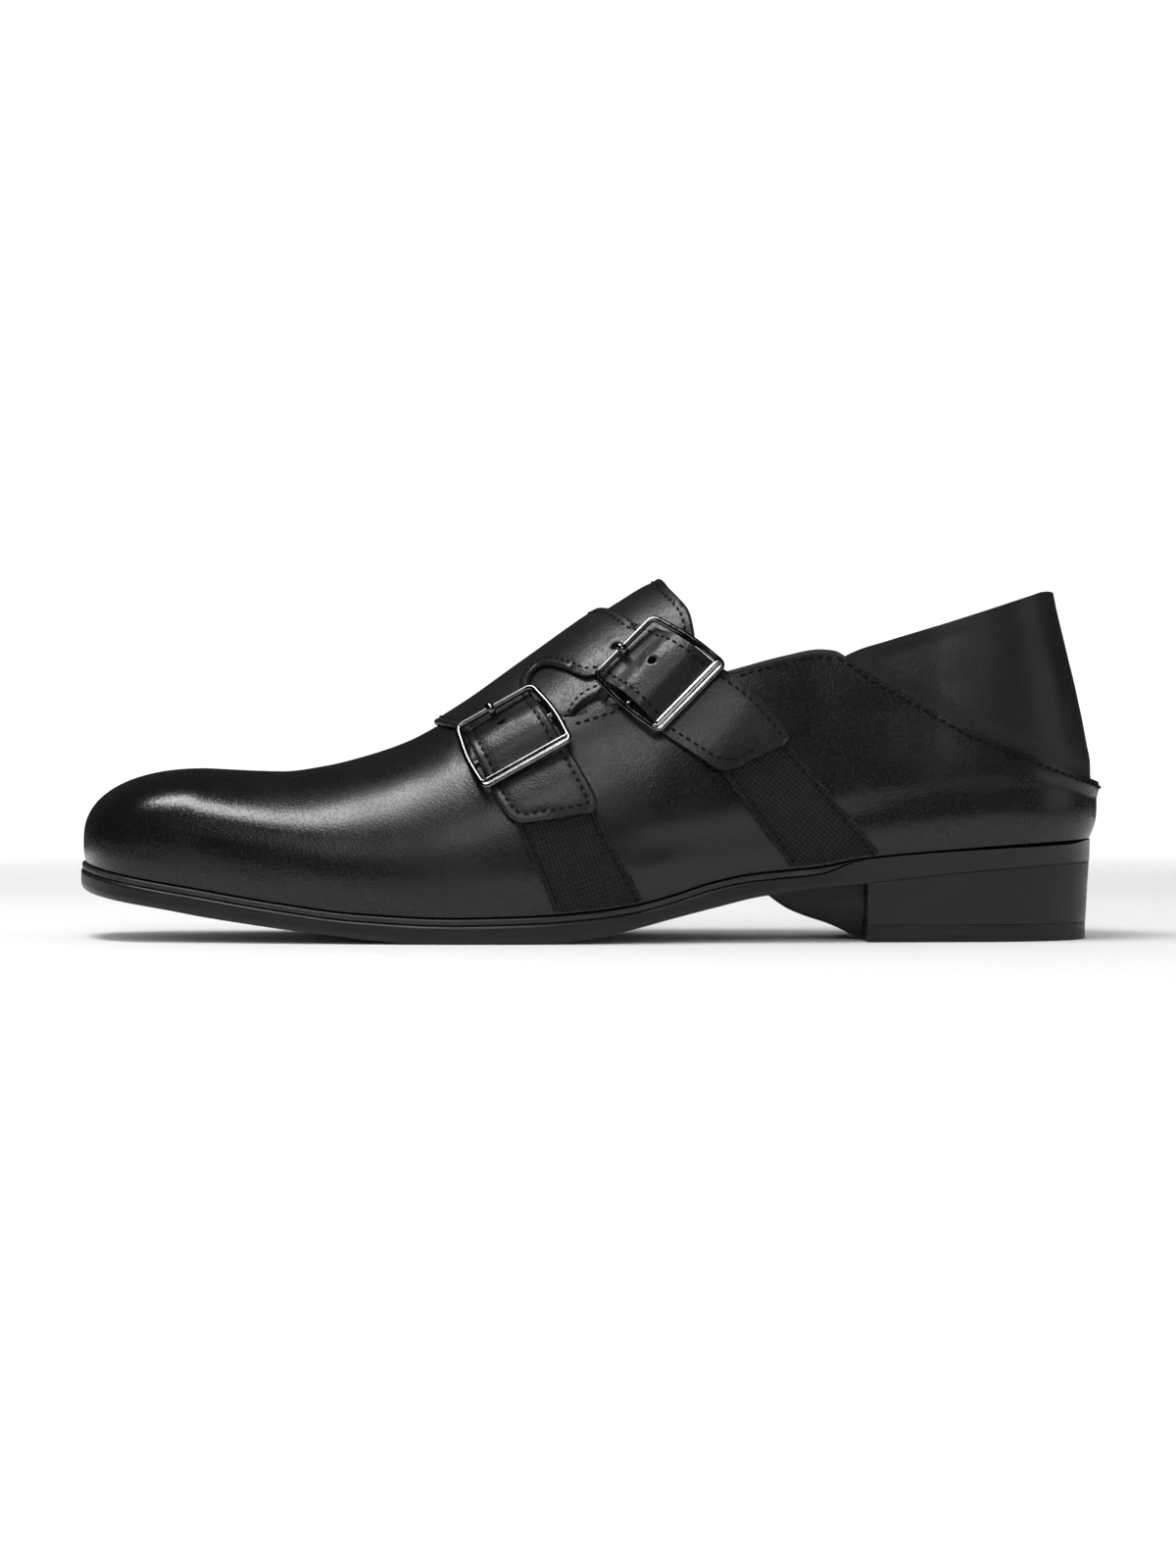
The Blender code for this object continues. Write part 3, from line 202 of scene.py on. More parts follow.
def side_ribs(xs, side):
    """Ribs straight across the shoe; side may be one value or one for each station."""
    xs = np.atleast_1d(np.asarray(xs, float))
    side = np.broadcast_to(side, xs.shape)
    middle, outer = middle_at(xs), side < 0
    breadth = np.where(outer, breadth_lateral(xs), breadth_medial(xs))
    tuck = np.where(outer, tuck_lateral(xs), tuck_medial(xs))
    return Ribs(np.stack([xs, middle], -1), np.stack([0 * xs, side], -1),
                breadth - side * middle, tuck, rise_at(xs), crown_at(xs), power_at(xs))


def outline(angle, back):
    """Greatest breadth round the toe or the heel."""
    station = HEEL_X if back else TOE_X
    left, right = -breadth_lateral(station), breadth_medial(station)
    square = 2 / (HEEL_SQUARENESS if back else TOE_SQUARENESS)
    across = np.sign(np.cos(angle)) * np.abs(np.cos(angle)) ** square * (1 if back else -1)
    ahead = np.abs(np.sin(angle)) ** square
    half = (right - left) / 2
    if back:
        x = HEEL_X + (HEEL_BACK - HEEL_X) * ahead
    else:
        ahead = (TOE_REACH + TOE_SLANT * across - TOE_ROUND * across ** 2) * ahead
        x, half = TOE_X - ahead, half - TOE_TAPER * ahead
    return np.stack([x, (left + right) / 2 + half * across], -1)


def fan(count, back):
    """Ribs of the toe or heel, evenly spaced round its outline."""
    station = HEEL_X if back else TOE_X
    fine = outline(np.linspace(0, math.pi, 401), back)
    run = run_of(fine)
    goals = run[-1] * np.arange(1, count) / count
    target = np.stack([np.interp(goals, run, fine[:, c]) for c in (0, 1)], -1)
    centre = np.array([station, float(middle_at(station))])
    reach = target - centre
    most = abs(float(outline(np.array(math.pi / 2), back)[0]) - station)
    turn = ease(np.abs(target[:, 0] - station) / max(most, 1))
    crown, power = crown_at(station), power_at(station)
    middle = ((HEEL_TUCK, HEEL_RISE, HEEL_CROWN, HEEL_POWER) if back
              else (TOE_TUCK, TOE_RISE, crown, TOE_POWER))
    tuck = np.where(target[:, 1] > centre[1], tuck_medial(station), tuck_lateral(station))
    values = [a + (b - a) * turn
              for a, b in zip((tuck, rise_at(station), crown, power), middle)]
    return Ribs(np.broadcast_to(centre, target.shape), unit(reach),
                norm(reach, axis=1), *values)


def stations(step, extra=(), start=TOE_X):
    """Stations along the sides, evenly spaced, with extra ones where an edge turns."""
    even = np.linspace(start, HEEL_X, round((HEEL_X - start) / step) + 1)
    kept = [x for x in even if all(abs(x - e) > step * 0.45 for e in extra)]
    return np.array(sorted(kept + list(extra)))


def round_heel(xs, count):
    """Ribs from the inner side round the heel to the outer side."""
    return join(side_ribs(xs, MEDIAL), fan(count, True), side_ribs(xs[::-1], LATERAL))


def perimeter(xs, toe_count, heel_count):
    """Ribs once round the shoe from the outer side forward."""
    return join(side_ribs(xs[::-1], LATERAL), fan(toe_count, False), side_ribs(xs, MEDIAL),
                fan(heel_count, True))


GIRTH = 90                            # girths run from 0 at the crown to this at the sole


def surface(x, w):
    """Points of the last at stations x and girths w, outer side negative."""
    x, w = np.broadcast_arrays(np.asarray(x, float), np.asarray(w, float))
    ribs = side_ribs(x.ravel(), np.where(w.ravel() < 0, LATERAL, MEDIAL))
    return ribs.point(1 - np.minimum(1, np.abs(w.ravel()) / GIRTH)).reshape(*x.shape, 3)


def slopes(x, w, e):
    """Changes of the last's surface with station and with girth."""
    return ((surface(x + e, w) - surface(x - e, w)) / (2 * e),
            (surface(x, w + e) - surface(x, w - e)) / (2 * e))


def normal(x, w):
    """Outward directions of the last."""
    e = 0.4
    along = surface(x + e, w) - surface(x - e, w)
    w = np.clip(w, e - GIRTH, GIRTH - e)
    return -unit(np.cross(surface(x, w + e) - surface(x, w - e), along))


def shell(x, w, offset):
    """Points at a distance off the last."""
    return surface(x, w) + normal(x, w) * np.asarray(offset)[..., None]


def girth_at(x, z, side, offset=0):
    """Girth where a shell at some offset has height z."""
    ribs = side_ribs(x, side)
    w = side * GIRTH * (1 - ribs.share_at(np.atleast_1d(z)))
    for _ in range(6 if offset else 0):
        w = side * GIRTH * (1 - ribs.share_at(z - offset * normal(np.atleast_1d(x), w)[:, 2]))
    return w


def nearest_on_last(points):
    """Stations and girths of the outer side nearest to points in space."""
    x, w = points[:, 0].copy(), girth_at(points[:, 0], points[:, 2], LATERAL)
    for _ in range(30):
        miss = points - surface(x, w)
        out = normal(x, w)
        miss -= out * (miss * out).sum(-1, keepdims=True)
        turn = slopes(x, w, 0.5)[1]
        x = x + miss[:, 0] * 0.8
        w = np.minimum(-0.01, w + 0.8 * (miss * turn).sum(-1) / (turn ** 2).sum(-1))
    return np.stack([x, w], -1)


# ---- meshes

SHIFT = np.array([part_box("top_lift")[0][0] - BREAST_X * MM,
                  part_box("upper")[1][1] - 44.9 * MM, 0])


def add_object(name, vertices, faces, finish, sharp):
    """Smooth mesh object from points in metres."""
    mesh = bpy.data.meshes.new(name)
    mesh.from_pydata(vertices.tolist(), [], faces)
    mesh.validate()
    work = bmesh.new()
    work.from_mesh(mesh)
    bmesh.ops.recalc_face_normals(work, faces=work.faces)
    work.to_mesh(mesh)
    work.free()
    mesh.shade_smooth()
    mesh.set_sharp_from_angle(angle=math.radians(sharp))
    mesh.materials.append(finish)
    made = bpy.data.objects.new(name, mesh)
    bpy.context.scene.collection.objects.link(made)
    return made


def add_piece(name, vertices, faces, finish, replaces=None, slot="black_leather", sharp=50):
    """Mesh piece on the root body, from points in millimetres."""
    made = add_object(name, vertices * MM + SHIFT, faces, finish, sharp)
    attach(made, "root")
    if replaces:
        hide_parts(replaces)


def welded(vertices, faces):
    """Merge points that coincide and drop the faces that vanish."""
    _, first, back = np.unique(np.round(vertices, 3), axis=0, return_index=True,
                               return_inverse=True)
    back = back.ravel()
    clean = []
    for face in faces:
        loop = list(dict.fromkeys(back[list(face)].tolist()))
        if len(loop) > 2:
            clean.append(tuple(loop))
    return vertices[first], clean


def sheet_normals(vertices, faces):
    """Averaged directions at each point of a sheet."""
    total = np.zeros_like(vertices)
    for size in (3, 4):
        group = np.array([f for f in faces if len(f) == size])
        if len(group):
            corners = [vertices[group[:, k]] for k in range(size)]
            area = np.cross(corners[-2] - corners[0], corners[-1] - corners[-3])
            for k in range(size):
                np.add.at(total, group[:, k], area)
    return unit(total)


RIM_PARTS = 4


def wall(name, vertices, faces, directions, outer, inner, bulge, finish, **kind):
    """Wall between two distances off a sheet, with rounded edges."""
    count = len(vertices)
    outer, inner, bulge = (np.broadcast_to(v, count)[:, None] for v in (outer, inner, bulge))
    top, bottom = vertices + directions * outer, vertices + directions * inner
    edges = {edge for face in faces for edge in zip(face, face[1:] + face[:1])}
    border = [(a, b) for a, b in edges if (b, a) not in edges]
    rim = sorted({i for edge in border for i in edge})
    place = {v: k for k, v in enumerate(rim)}
    away = np.zeros((len(rim), 3))
    for a, b in border:
        push = np.cross(vertices[b] - vertices[a], directions[a] + directions[b])
        away[place[a]] += push
        away[place[b]] += push
    away = unit(away) * bulge[rim]
    skin = [top, bottom]
    walls = list(faces) + [tuple(i + count for i in reversed(face)) for face in faces]
    levels = [rim, *(range(2 * count + k * len(rim), 2 * count + (k + 1) * len(rim))
                     for k in range(RIM_PARTS - 1)), [v + count for v in rim]]
    for k in range(1, RIM_PARTS):
        t = k / RIM_PARTS
        skin.append(top[rim] * (1 - t) + bottom[rim] * t + away * math.sin(math.pi * t))
    for a, b in border:
        for upper, lower in zip(levels, levels[1:]):
            walls.append((upper[place[b]], upper[place[a]], lower[place[a]], lower[place[b]]))
    add_piece(name, np.concatenate(skin), walls, finish, **kind)


def strips(count, size, closed=False, wrapped=False, base=0):
    """Faces between rows of points; closed joins the last row to the first."""
    faces = []
    for k in range(count if closed else count - 1):
        here, there = base + k * size, base + (k + 1) % count * size
        for n in range(size if wrapped else size - 1):
            after = (n + 1) % size
            faces.append((here + n, here + after, there + after, there + n))
    return faces


def caps(count, size, base=0):
    """Faces that close a bar at its first and last row of points."""
    return [tuple(base + n for n in reversed(range(size))),
            tuple(base + (count - 1) * size + n for n in range(size))]


def rib_grid(ribs, low, high, rows, closed):
    """Sheet on the last from share low to share high, rows evenly spaced."""
    shares = low[:, None] + (high - low)[:, None] * np.linspace(0, 1, 81)
    goals = np.linspace(0, 1, rows + 1)
    at = []
    for line, share in zip(ribs.point(shares), shares):
        run = run_of(line)
        at.append(np.interp(goals * run[-1], run, share))
    points = ribs.point(np.array(at))
    return welded(points.reshape(-1, 3), strips(len(points), rows + 1, closed))


# ---- materials


def add_node(tree, kind, output, inputs, **settings):
    """New node with values or links in its sockets; returns one of its outputs."""
    made = tree.nodes.new("ShaderNode" + kind)
    for name, value in settings.items():
        setattr(made, name, value)
    for socket, source in inputs.items():
        if isinstance(source, (int, float, tuple)):
            made.inputs[socket].default_value = source
        else:
            tree.links.new(source, made.inputs[socket])
    return made.outputs[output]


class Nodes:
    """Material in the making, with short names for its nodes."""

    def __init__(self, name, **sockets):
        self.material = bpy.data.materials.new(name)
        self.material.use_nodes = True
        self.tree = self.material.node_tree
        self.shader = self.tree.nodes["Principled BSDF"]
        for socket, value in sockets.items():
            self.shader.inputs[socket.replace("_", " ")].default_value = value
        self.place = self.node("TexCoord", "Object", {})
        self.bumped = {}

    def node(self, *values, **settings):
        """New node of this material."""
        return add_node(self.tree, *values, **settings)

    def give(self, source, socket):
        """Link a node to the shader."""
        self.tree.links.new(source, self.shader.inputs[socket])

    def mapped(self, scale=(1, 1, 1), turn=(0, 0, 0)):
        """Object coordinates, turned and then stretched."""
        turned = self.node("Mapping", "Vector", {"Vector": self.place, "Rotation": turn})
        return self.node("Mapping", "Vector", {"Vector": turned, "Scale": scale})

    def noise(self, scale, detail=2, rough=0.5, where=None, distortion=0):
        """Cloudy noise, scale in waves per metre."""
        return self.node("TexNoise", "Fac", {
            "Vector": where or self.place, "Scale": scale, "Detail": detail,
            "Roughness": rough, "Distortion": distortion})

    def cells(self, scale):
        """Distance from the middles of cells, scale in cells per metre."""
        return self.node("TexVoronoi", "Distance", {"Vector": self.place, "Scale": scale})

    def wave(self, pitch, where, distortion, axis="X"):
        """Bands across an axis, their pitch in metres."""
        return self.node("TexWave", "Fac", {
            "Vector": where, "Scale": math.pi / 10 / pitch, "Distortion": distortion,
            "Detail": 1}, bands_direction=axis)

    def axis(self, letter):
        """One of the object coordinates."""
        return self.node("SeparateXYZ", letter, {"Vector": self.place})

    def math(self, operation, first, second):
        """Sum, difference, product or power."""
        return self.node("Math", 0, {0: first, 1: second}, operation=operation)

    def blend(self, first, share, second):
        """Share of the first and the rest of the second."""
        return self.math("ADD", self.math("MULTIPLY", first, share),
                         self.math("MULTIPLY", second, round(1 - share, 3)))

    def ranged(self, value, low, high, start, end):
        """Value from low to high, spread smoothly over start to end."""
        return self.node("MapRange", "Result", {
            "Value": value, "From Min": low, "From Max": high, "To Min": start,
            "To Max": end}, interpolation_type="SMOOTHSTEP")

    def paint(self, value, *stops):
        """Greys over a value; stops are (value, tone) or (value, tone, warmth)."""
        tint = self.node("ValToRGB", "Color", {"Fac": value})
        ramp = tint.node.color_ramp
        while len(ramp.elements) < len(stops):
            ramp.elements.new(0.5)
        for element, (place, tone, *warm) in zip(ramp.elements, stops):
            warm = sum(warm)
            element.position = place
            element.color = (tone * (1 + warm), tone, tone * (1 - warm), 1)
        self.give(tint, "Base Color")

    def bump(self, height, depth, strength):
        """Relief of a height from 0 to 1, its depth in metres, over any earlier relief."""
        relief = self.node("Bump", "Normal", {
            "Strength": strength, "Distance": depth, "Height": height, **self.bumped})
        self.bumped = {"Normal": relief}
        self.give(relief, "Normal")


def calf(name, dark, light, low, high, burnish, grain):
    """Smooth polished calf: fine grain, cloudy dye, darker and glossier towards the toe."""
    made = Nodes(name, Specular_IOR_Level=0.34, Coat_Weight=0.1, Coat_Roughness=0.2)
    cloud = made.noise(34, 3, 0.55)
    pebble = made.ranged(made.cells(1250), 0.15, 0.6, 1, 0)
    tone = made.blend(cloud, 0.87, pebble)
    rough = made.ranged(made.blend(cloud, 0.85, pebble), 0.3, 0.7, low, high)
    if burnish:
        toe = made.ranged(made.axis("X"), -0.135, -0.055, 0, 1)
        tone = made.math("MULTIPLY", tone, made.ranged(toe, 0, 1, 0.55, 1))
        rough = made.math("SUBTRACT", rough, made.math("MULTIPLY", made.math(
            "SUBTRACT", 1, toe), 0.055))
    made.paint(tone, (0.18, dark, 0.02), (0.5, (dark + light) / 2), (0.78, light, 0.01))
    made.give(rough, "Roughness")
    made.bump(made.noise(95), 0.00015 * grain, 0.5)
    made.bump(pebble, 0.00004 * grain, 0.6)
    made.bump(made.noise(2600, 2, 0.6), 0.00003 * grain, 0.6)
    return made.material


def lining(name):
    """Matt black lining leather."""
    made = Nodes(name, Specular_IOR_Level=0.4)
    cloud = made.noise(60, 3)
    made.paint(cloud, (0.3, 0.008), (0.7, 0.015))
    made.give(made.ranged(cloud, 0.3, 0.7, 0.55, 0.68), "Roughness")
    made.bump(made.cells(900), 0.0001, 0.6)
    return made.material


def insole(name):
    """Dark grey sock leather, mottled lighter in soft random patches."""
    made = Nodes(name, Specular_IOR_Level=0.5, Coat_Weight=0.08, Coat_Roughness=0.35)
    tone = made.blend(made.noise(26, 4, 0.6, distortion=0.4), 0.8, made.noise(500, 2, 0.6))
    made.paint(tone, (0.3, 0.014), (0.55, 0.032), (0.75, 0.055))
    made.give(made.ranged(tone, 0.3, 0.7, 0.36, 0.5), "Roughness")
    made.bump(made.noise(80), 0.0002, 0.5)
    made.bump(made.cells(1100), 0.00008, 0.5)
    return made.material


def sole_edge(name, tone, rough, lines):
    """Sole leather with waxed black edges: level stack lines and light rub marks."""
    made = Nodes(name, Specular_IOR_Level=0.3, Coat_Weight=0.08, Coat_Roughness=0.22)
    streak = made.noise(1, 3, 0.6, where=made.mapped((70, 70, 620)))
    mixed = made.blend(streak, 0.55, made.noise(48, 3, 0.6))
    made.paint(mixed, (0.3, tone * 0.6), (0.55, tone), (0.75, tone * 1.7))
    made.give(made.ranged(mixed, 0.32, 0.68, rough, rough + 0.16), "Roughness")
    if lines:
        made.bump(streak, 0.00016, 0.5)
    made.bump(made.noise(900), 0.00006, 0.5)
    return made.material


def elastic(name, degrees):
    """Woven elastic: weft ribs across the tape over lengthwise rubber cords."""
    made = Nodes(name, Specular_IOR_Level=0.25, Sheen_Weight=0.04, Sheen_Roughness=0.45)
    along = made.mapped(turn=(0, math.radians(degrees), 0))
    weave = made.blend(made.wave(0.0011, along, 0.6), 0.62, made.wave(0.0014, along, 0.4, "Z"))
    fibre = made.noise(2600, 2, 0.6)
    made.paint(made.blend(weave, 0.8, fibre), (0.3, 0.0010), (0.8, 0.011))
    made.give(made.ranged(fibre, 0.3, 0.7, 0.62, 0.8), "Roughness")
    made.bump(weave, 0.00042, 1)
    made.bump(fibre, 0.00008, 0.6)
    return made.material


def thread_cotton(name):
    """Waxed black thread with a fine twist."""
    made = Nodes(name, Specular_IOR_Level=0.15)
    twist = made.wave(0.0005, made.mapped(turn=(0.5, 0.4, 0.8)), 0.5)
    made.paint(twist, (0.2, 0.0015), (0.9, 0.005))
    made.give(made.ranged(twist, 0.2, 0.8, 0.6, 0.8), "Roughness")
    made.bump(twist, 0.00008, 0.7)
    return made.material


def chrome(name):
    """Dark polished nickel with faint hairlines."""
    made = Nodes(name, Metallic=1)
    scratch = made.noise(1, 3, 0.7, where=made.mapped((160, 160, 1500), (0, 0.9, 0)))
    cloud = made.noise(240, 3, 0.6)
    made.paint(cloud, (0.3, 0.10, -0.01), (0.7, 0.16, 0.01))
    made.give(made.ranged(made.blend(scratch, 0.5, cloud), 0.35, 0.65, 0.09, 0.19),
              "Roughness")
    made.bump(scratch, 0.00002, 0.35)
    return made.material


# names, darkest and lightest tone, roughness from and to, burnished toe, size of the grain
CALF = calf("calf_vamp", 0.0040, 0.0085, 0.25, 0.39, True, 0.85)
CALF_BACK = calf("calf_back", 0.0060, 0.0120, 0.36, 0.50, False, 1.2)
CALF_STRAP = calf("calf_strap", 0.0055, 0.0125, 0.33, 0.47, False, 1.7)
LINING, INSOLE = lining("lining_black"), insole("insole_grey")
SOLE = sole_edge("sole_edge_black", 0.007, 0.32, True)
# the welt's edge is a lighter copy of the black sole edge: a painted highlight for the band of
# light along the top of the sole
WELT_PAINTED_HIGHLIGHT = sole_edge("sole_welt_painted_highlight", 0.018, 0.36, False)
TAPE = {"front": elastic("elastic_front", 20), "rear": elastic("elastic_rear", 50)}
THREAD, METAL = thread_cotton("thread_black"), chrome("nickel_dark")

# ---- sole

PLATE_SHARES = (0, 0.3, 0.6, 0.85)    # rows of points from the middle to the edge


def plate(name, ribs, closed, edge, top, bottom, finish, reach=None,
          slot="sole_leather", **kind):
    """Board over the foot or the heel; edge rows are (inset, share of height)."""
    count = len(ribs.wide)
    if reach is None:
        reach = ribs.foot + ledge(base_x(ribs))
    insets = [np.broadcast_to(inset, count) for inset, _ in edge]
    rows = [((reach - insets[0]) * share, 1) for share in PLATE_SHARES]
    rows += [(reach - inset, height) for inset, (_, height) in zip(insets, edge)]
    rows += [((reach - insets[-1]) * share, 0) for share in reversed(PLATE_SHARES)]
    away = np.stack([row for row, _ in rows], 1)[..., None]
    flat = ribs.centre[:, None] + ribs.direction[:, None] * away
    heights = np.stack([np.broadcast_to(height, count) for _, height in rows], 1)
    x = flat[..., 0]
    z = bottom(x) + (top(x) - bottom(x)) * heights
    faces = [face[::-1] for face in strips(count, len(rows), closed)]
    if not closed:
        faces += caps(count, len(rows))
    vertices, faces = welded(np.concatenate([flat, z[..., None]], -1).reshape(-1, 3), faces)
    add_piece(name, vertices, faces, finish, slot=slot, **kind)


def base_x(ribs):
    """Stations where ribs meet the bottom edge."""
    return ribs.point(np.zeros(len(ribs.wide)))[:, 0]


def midsole_top(x):
    """Face that the upper stands on."""
    return foot_height(x) - SEAT_GAP


GROOVE, HEEL_GROOVE = 0.3, 0.6        # dark line under the upper, deeper at the heel
GROOVE_GROWS, GROOVE_FADES = (84, 144), (138, 146)
GROOVE_INSETS = (5, 3.9)              # it lies outside this step


def between(x, ends):
    """0 before the first end, 1 after the second, eased."""
    return ease((x - ends[0]) / (ends[1] - ends[0]))


def grooved(ribs, edge, bottom, share=1):
    """Edge rows with the top lowered where the upper stands, but not right behind."""
    x = base_x(ribs)
    thick = np.maximum(midsole_top(x) - bottom(x), 0.5)
    depth = (GROOVE + HEEL_GROOVE * between(x, GROOVE_GROWS)) * (1 - between(x, GROOVE_FADES))
    low = 1 - share * depth / thick
    return [(GROOVE_INSETS[0], 1), (GROOVE_INSETS[1], low)] + [
        (inset, height * low) for inset, height in edge]


WELT_END, WELT_TAPER = 78, 13
STACK_START = 0.42                    # taper of the heel's part of the outsole


def welt_bottom(x):
    """Underside of the midsole, which runs out into the heel seat."""
    thick = MIDSOLE_THICKNESS * (1 - 0.94 * ease((x - WELT_END + WELT_TAPER) / WELT_TAPER))
    return midsole_top(x) - thick


def outsole_top(x):
    """Top of the outsole: under the midsole, and up to the upper at the heel seat."""
    seat = ease((x - WELT_END - 0.1) / 0.4)
    return welt_bottom(x) * (1 - seat) + midsole_top(x) * seat - 0.04 * (1 - seat)


def rounded(depth, low, high, parts=5):
    """Edge rows of a quarter-round at the top and at the bottom."""
    turns = [math.pi / 2 * k / parts for k in range(parts + 1)]
    return [(depth * (1 - math.sin(turn)), 1 - high * (1 - math.cos(turn))) for turn in turns
            ] + [(0, 1 - high - 0.03), (0, low + 0.03)] + [
        (depth * (1 - math.cos(turn)), low * (1 - math.sin(turn))) for turn in turns]


SOLE_STEP = 2.5                       # distance between the stations of boards


def heel_ribs():
    """Ribs round the heel from its breast back."""
    return round_heel(stations(SOLE_STEP, (BREAST_X,), BREAST_X), 60)


def make_soles():
    """Outsole, midsole, insole and top lift."""
    xs = stations(SOLE_STEP, (SEAT_STEP_X, 78.3, 78.6))
    ribs = perimeter(xs, 70, 60)
    flush = ease((ribs.centre[:, 0] + 10 - SEAT_STEP_X) / 10)
    square = 1 - 0.92 * flush
    edge = [(inset * (1 - 0.97 * flush) + STACK_START * flush * (1 - height),
             1 - (1 - height) * square if height > 0.5 else height * square)
            for inset, height in rounded(1.3, 0.32, 0.2)]
    plate("outsole_leather", ribs, True, grooved(ribs, edge, underside, flush), outsole_top,
          underside, SOLE, replaces="outsole")
    slope = 2 * (ribs.wide - ribs.foot) / (ribs.wide_z - ribs.foot_z)
    plate("insole_sock", ribs, True, rounded(0.5, 0.2, 0.2, 3),
          lambda x: foot_height(x) + INSOLE_THICKNESS, foot_height, INSOLE,
          ribs.foot - WALL * np.hypot(1, slope) - GAP, "insole_leather", replaces="insole")
    xs = xs[xs <= SEAT_STEP_X + 0.01]
    ahead = join(side_ribs(xs[::-1], LATERAL), fan(70, False), side_ribs(xs, MEDIAL))
    edge = [(inset + 0.3, height) for inset, height in rounded(0.6, 0.3, 0.3, 4)]
    # the welt's lighter edge colour is a painted highlight
    plate("midsole_welt", ahead, False, grooved(ahead, edge, welt_bottom), midsole_top,
          welt_bottom, WELT_PAINTED_HIGHLIGHT, replaces="midsole")
    edge = [(inset + HEEL_TAPER - 0.1, height) for inset, height in rounded(0.15, 0.05, 0.02)]
    plate("heel_lift", heel_ribs(), False, edge, lambda x: TOP_LIFT_HEIGHT, lambda x: 0, SOLE,
          replaces="top_lift")


# ---- upper

TROUGH_ROWS = ((5, 25.5), (24, 27.5), (60, 33.5), (113, 42), (150, 42.5))
TROUGH_DEPTH, TROUGH_WIDTH = 0.85, 5.2
SETTLE, SETTLE_SIZE = 0.32, 21        # slow unevenness of the lasted leather
NOISE_AT = Vector((4.1, 2.3, 7.7))


def unevenness(points, size):
    """Slow smooth waves from 0 to 1."""
    return np.array([noise.noise(Vector(p) / size + NOISE_AT) for p in points]) * 0.5 + 0.5


def upper_relief(points):
    """Hollow along the quarters and the leather's slow waves, none at the edges."""
    x, z = points[:, 0], points[:, 2]
    hollow = np.exp(-((z - curve(TROUGH_ROWS)(x)) / TROUGH_WIDTH) ** 2) * ease((x - 4) / 16)
    depth = TROUGH_DEPTH * hollow + SETTLE * unevenness(points, SETTLE_SIZE)
    depth = depth + 0.08 * unevenness(points, 8) * ease((x + 60) / 30)
    top = np.where(x < SLIT_X + 4, 200, top_line(x))
    throat = ease((x + 58) / 14) * ease((SLIT_X + 16 - x) / 10) * ease((z - 52) / 8)
    return -depth * ease((top - z - 0.5) / 5) * ease((z - foot_height(x) - 2) / 6) * (1 - throat)


def make_upper():
    """Vamp and quarters."""
    extra = (THROAT_X, SLIT_X, 0, 66, 68, 70, 72.2, 74.4, 77, 79.8)
    ribs = perimeter(stations(2, extra), 64, 60)
    high = np.where(ribs.centre[:, 0] <= THROAT_X, 1, ribs.share_on(top_line))
    vertices, faces = rib_grid(ribs, 0 * high, high, rows=46, closed=True)
    x, z = vertices[:, 0], vertices[:, 2]
    throat = (x > THROAT_X - 2) & (x < SLIT_X + 0.1) & (z > 60)
    relief = upper_relief(vertices)
    wall("upper_leather", vertices, faces, sheet_normals(vertices, faces), relief,
         relief - WALL, np.where(throat, 0, 0.35), CALF, replaces="upper")


def make_back():
    """Soft back above the quarters' seam."""
    ribs = round_heel(stations(2, (BACK_START_X, 71, 74.4, 79.8), BACK_START_X), 60)
    low = ribs.share_on(lambda x: np.minimum(top_line(x) - BACK_LAP, BACK_FRONT_Z))
    vertices, faces = rib_grid(ribs, low, ribs.share_on(back_edge), rows=30, closed=False)
    x, z = vertices[:, 0], vertices[:, 2]
    clear = z - top_line(x) - 1
    crease = 0.75 * unevenness(vertices, 19) + 0.16 * unevenness(vertices, 7)
    outer = (BACK_RISE * ease(clear / 7) - (WALL + GAP)
             - crease * ease(clear / 9) * ease((back_edge(x) - z) / 5))
    wall("back_leather", vertices, faces, sheet_normals(vertices, faces), outer,
         outer - BACK_THICKNESS, 0.4, CALF_BACK, replaces="back_panel")


# ---- patches on the last

RIDGE, FOOT = "ridge", "foot"
FOOT_MARGIN = {LATERAL: 1.6, MEDIAL: 2.8}


def on_side(points, side, offset=0):
    """Side view points (x, z) as (station, girth); RIDGE and FOOT stand for the ends."""
    ends = {RIDGE: 0, FOOT: side * (GIRTH - FOOT_MARGIN[side])}
    return [(x, ends[z] if z in ends else float(girth_at(x, z, side, offset)[0]))
            for x, z in points]


def curve_through(points, step):
    """Smooth curve through points in the plane, sampled about every step."""
    points = np.asarray(points, float)
    padded = np.vstack([2 * points[0] - points[1], points, 2 * points[-1] - points[-2]])
    samples = [points[0]]
    for a, b, c, d in zip(padded, padded[1:], padded[2:], padded[3:]):
        count = max(1, round(norm(c - b) / step))
        for k in range(1, count + 1):
            t = k / count
            samples.append(0.5 * (2 * b + (c - a) * t + (2 * a - 5 * b + 4 * c - d) * t ** 2
                                  + (3 * b - a - 3 * c + d) * t ** 3))
    return np.array(samples)


def trimmed(line, cut):
    """Line shortened at its start by a distance."""
    while len(line) > 2 and norm(line[1] - line[0]) < cut:
        cut -= norm(line[1] - line[0])
        line = line[1:]
    share = min(0.9, cut / max(1e-6, norm(line[1] - line[0])))
    return np.vstack([line[0] + (line[1] - line[0]) * share, line[1:]])


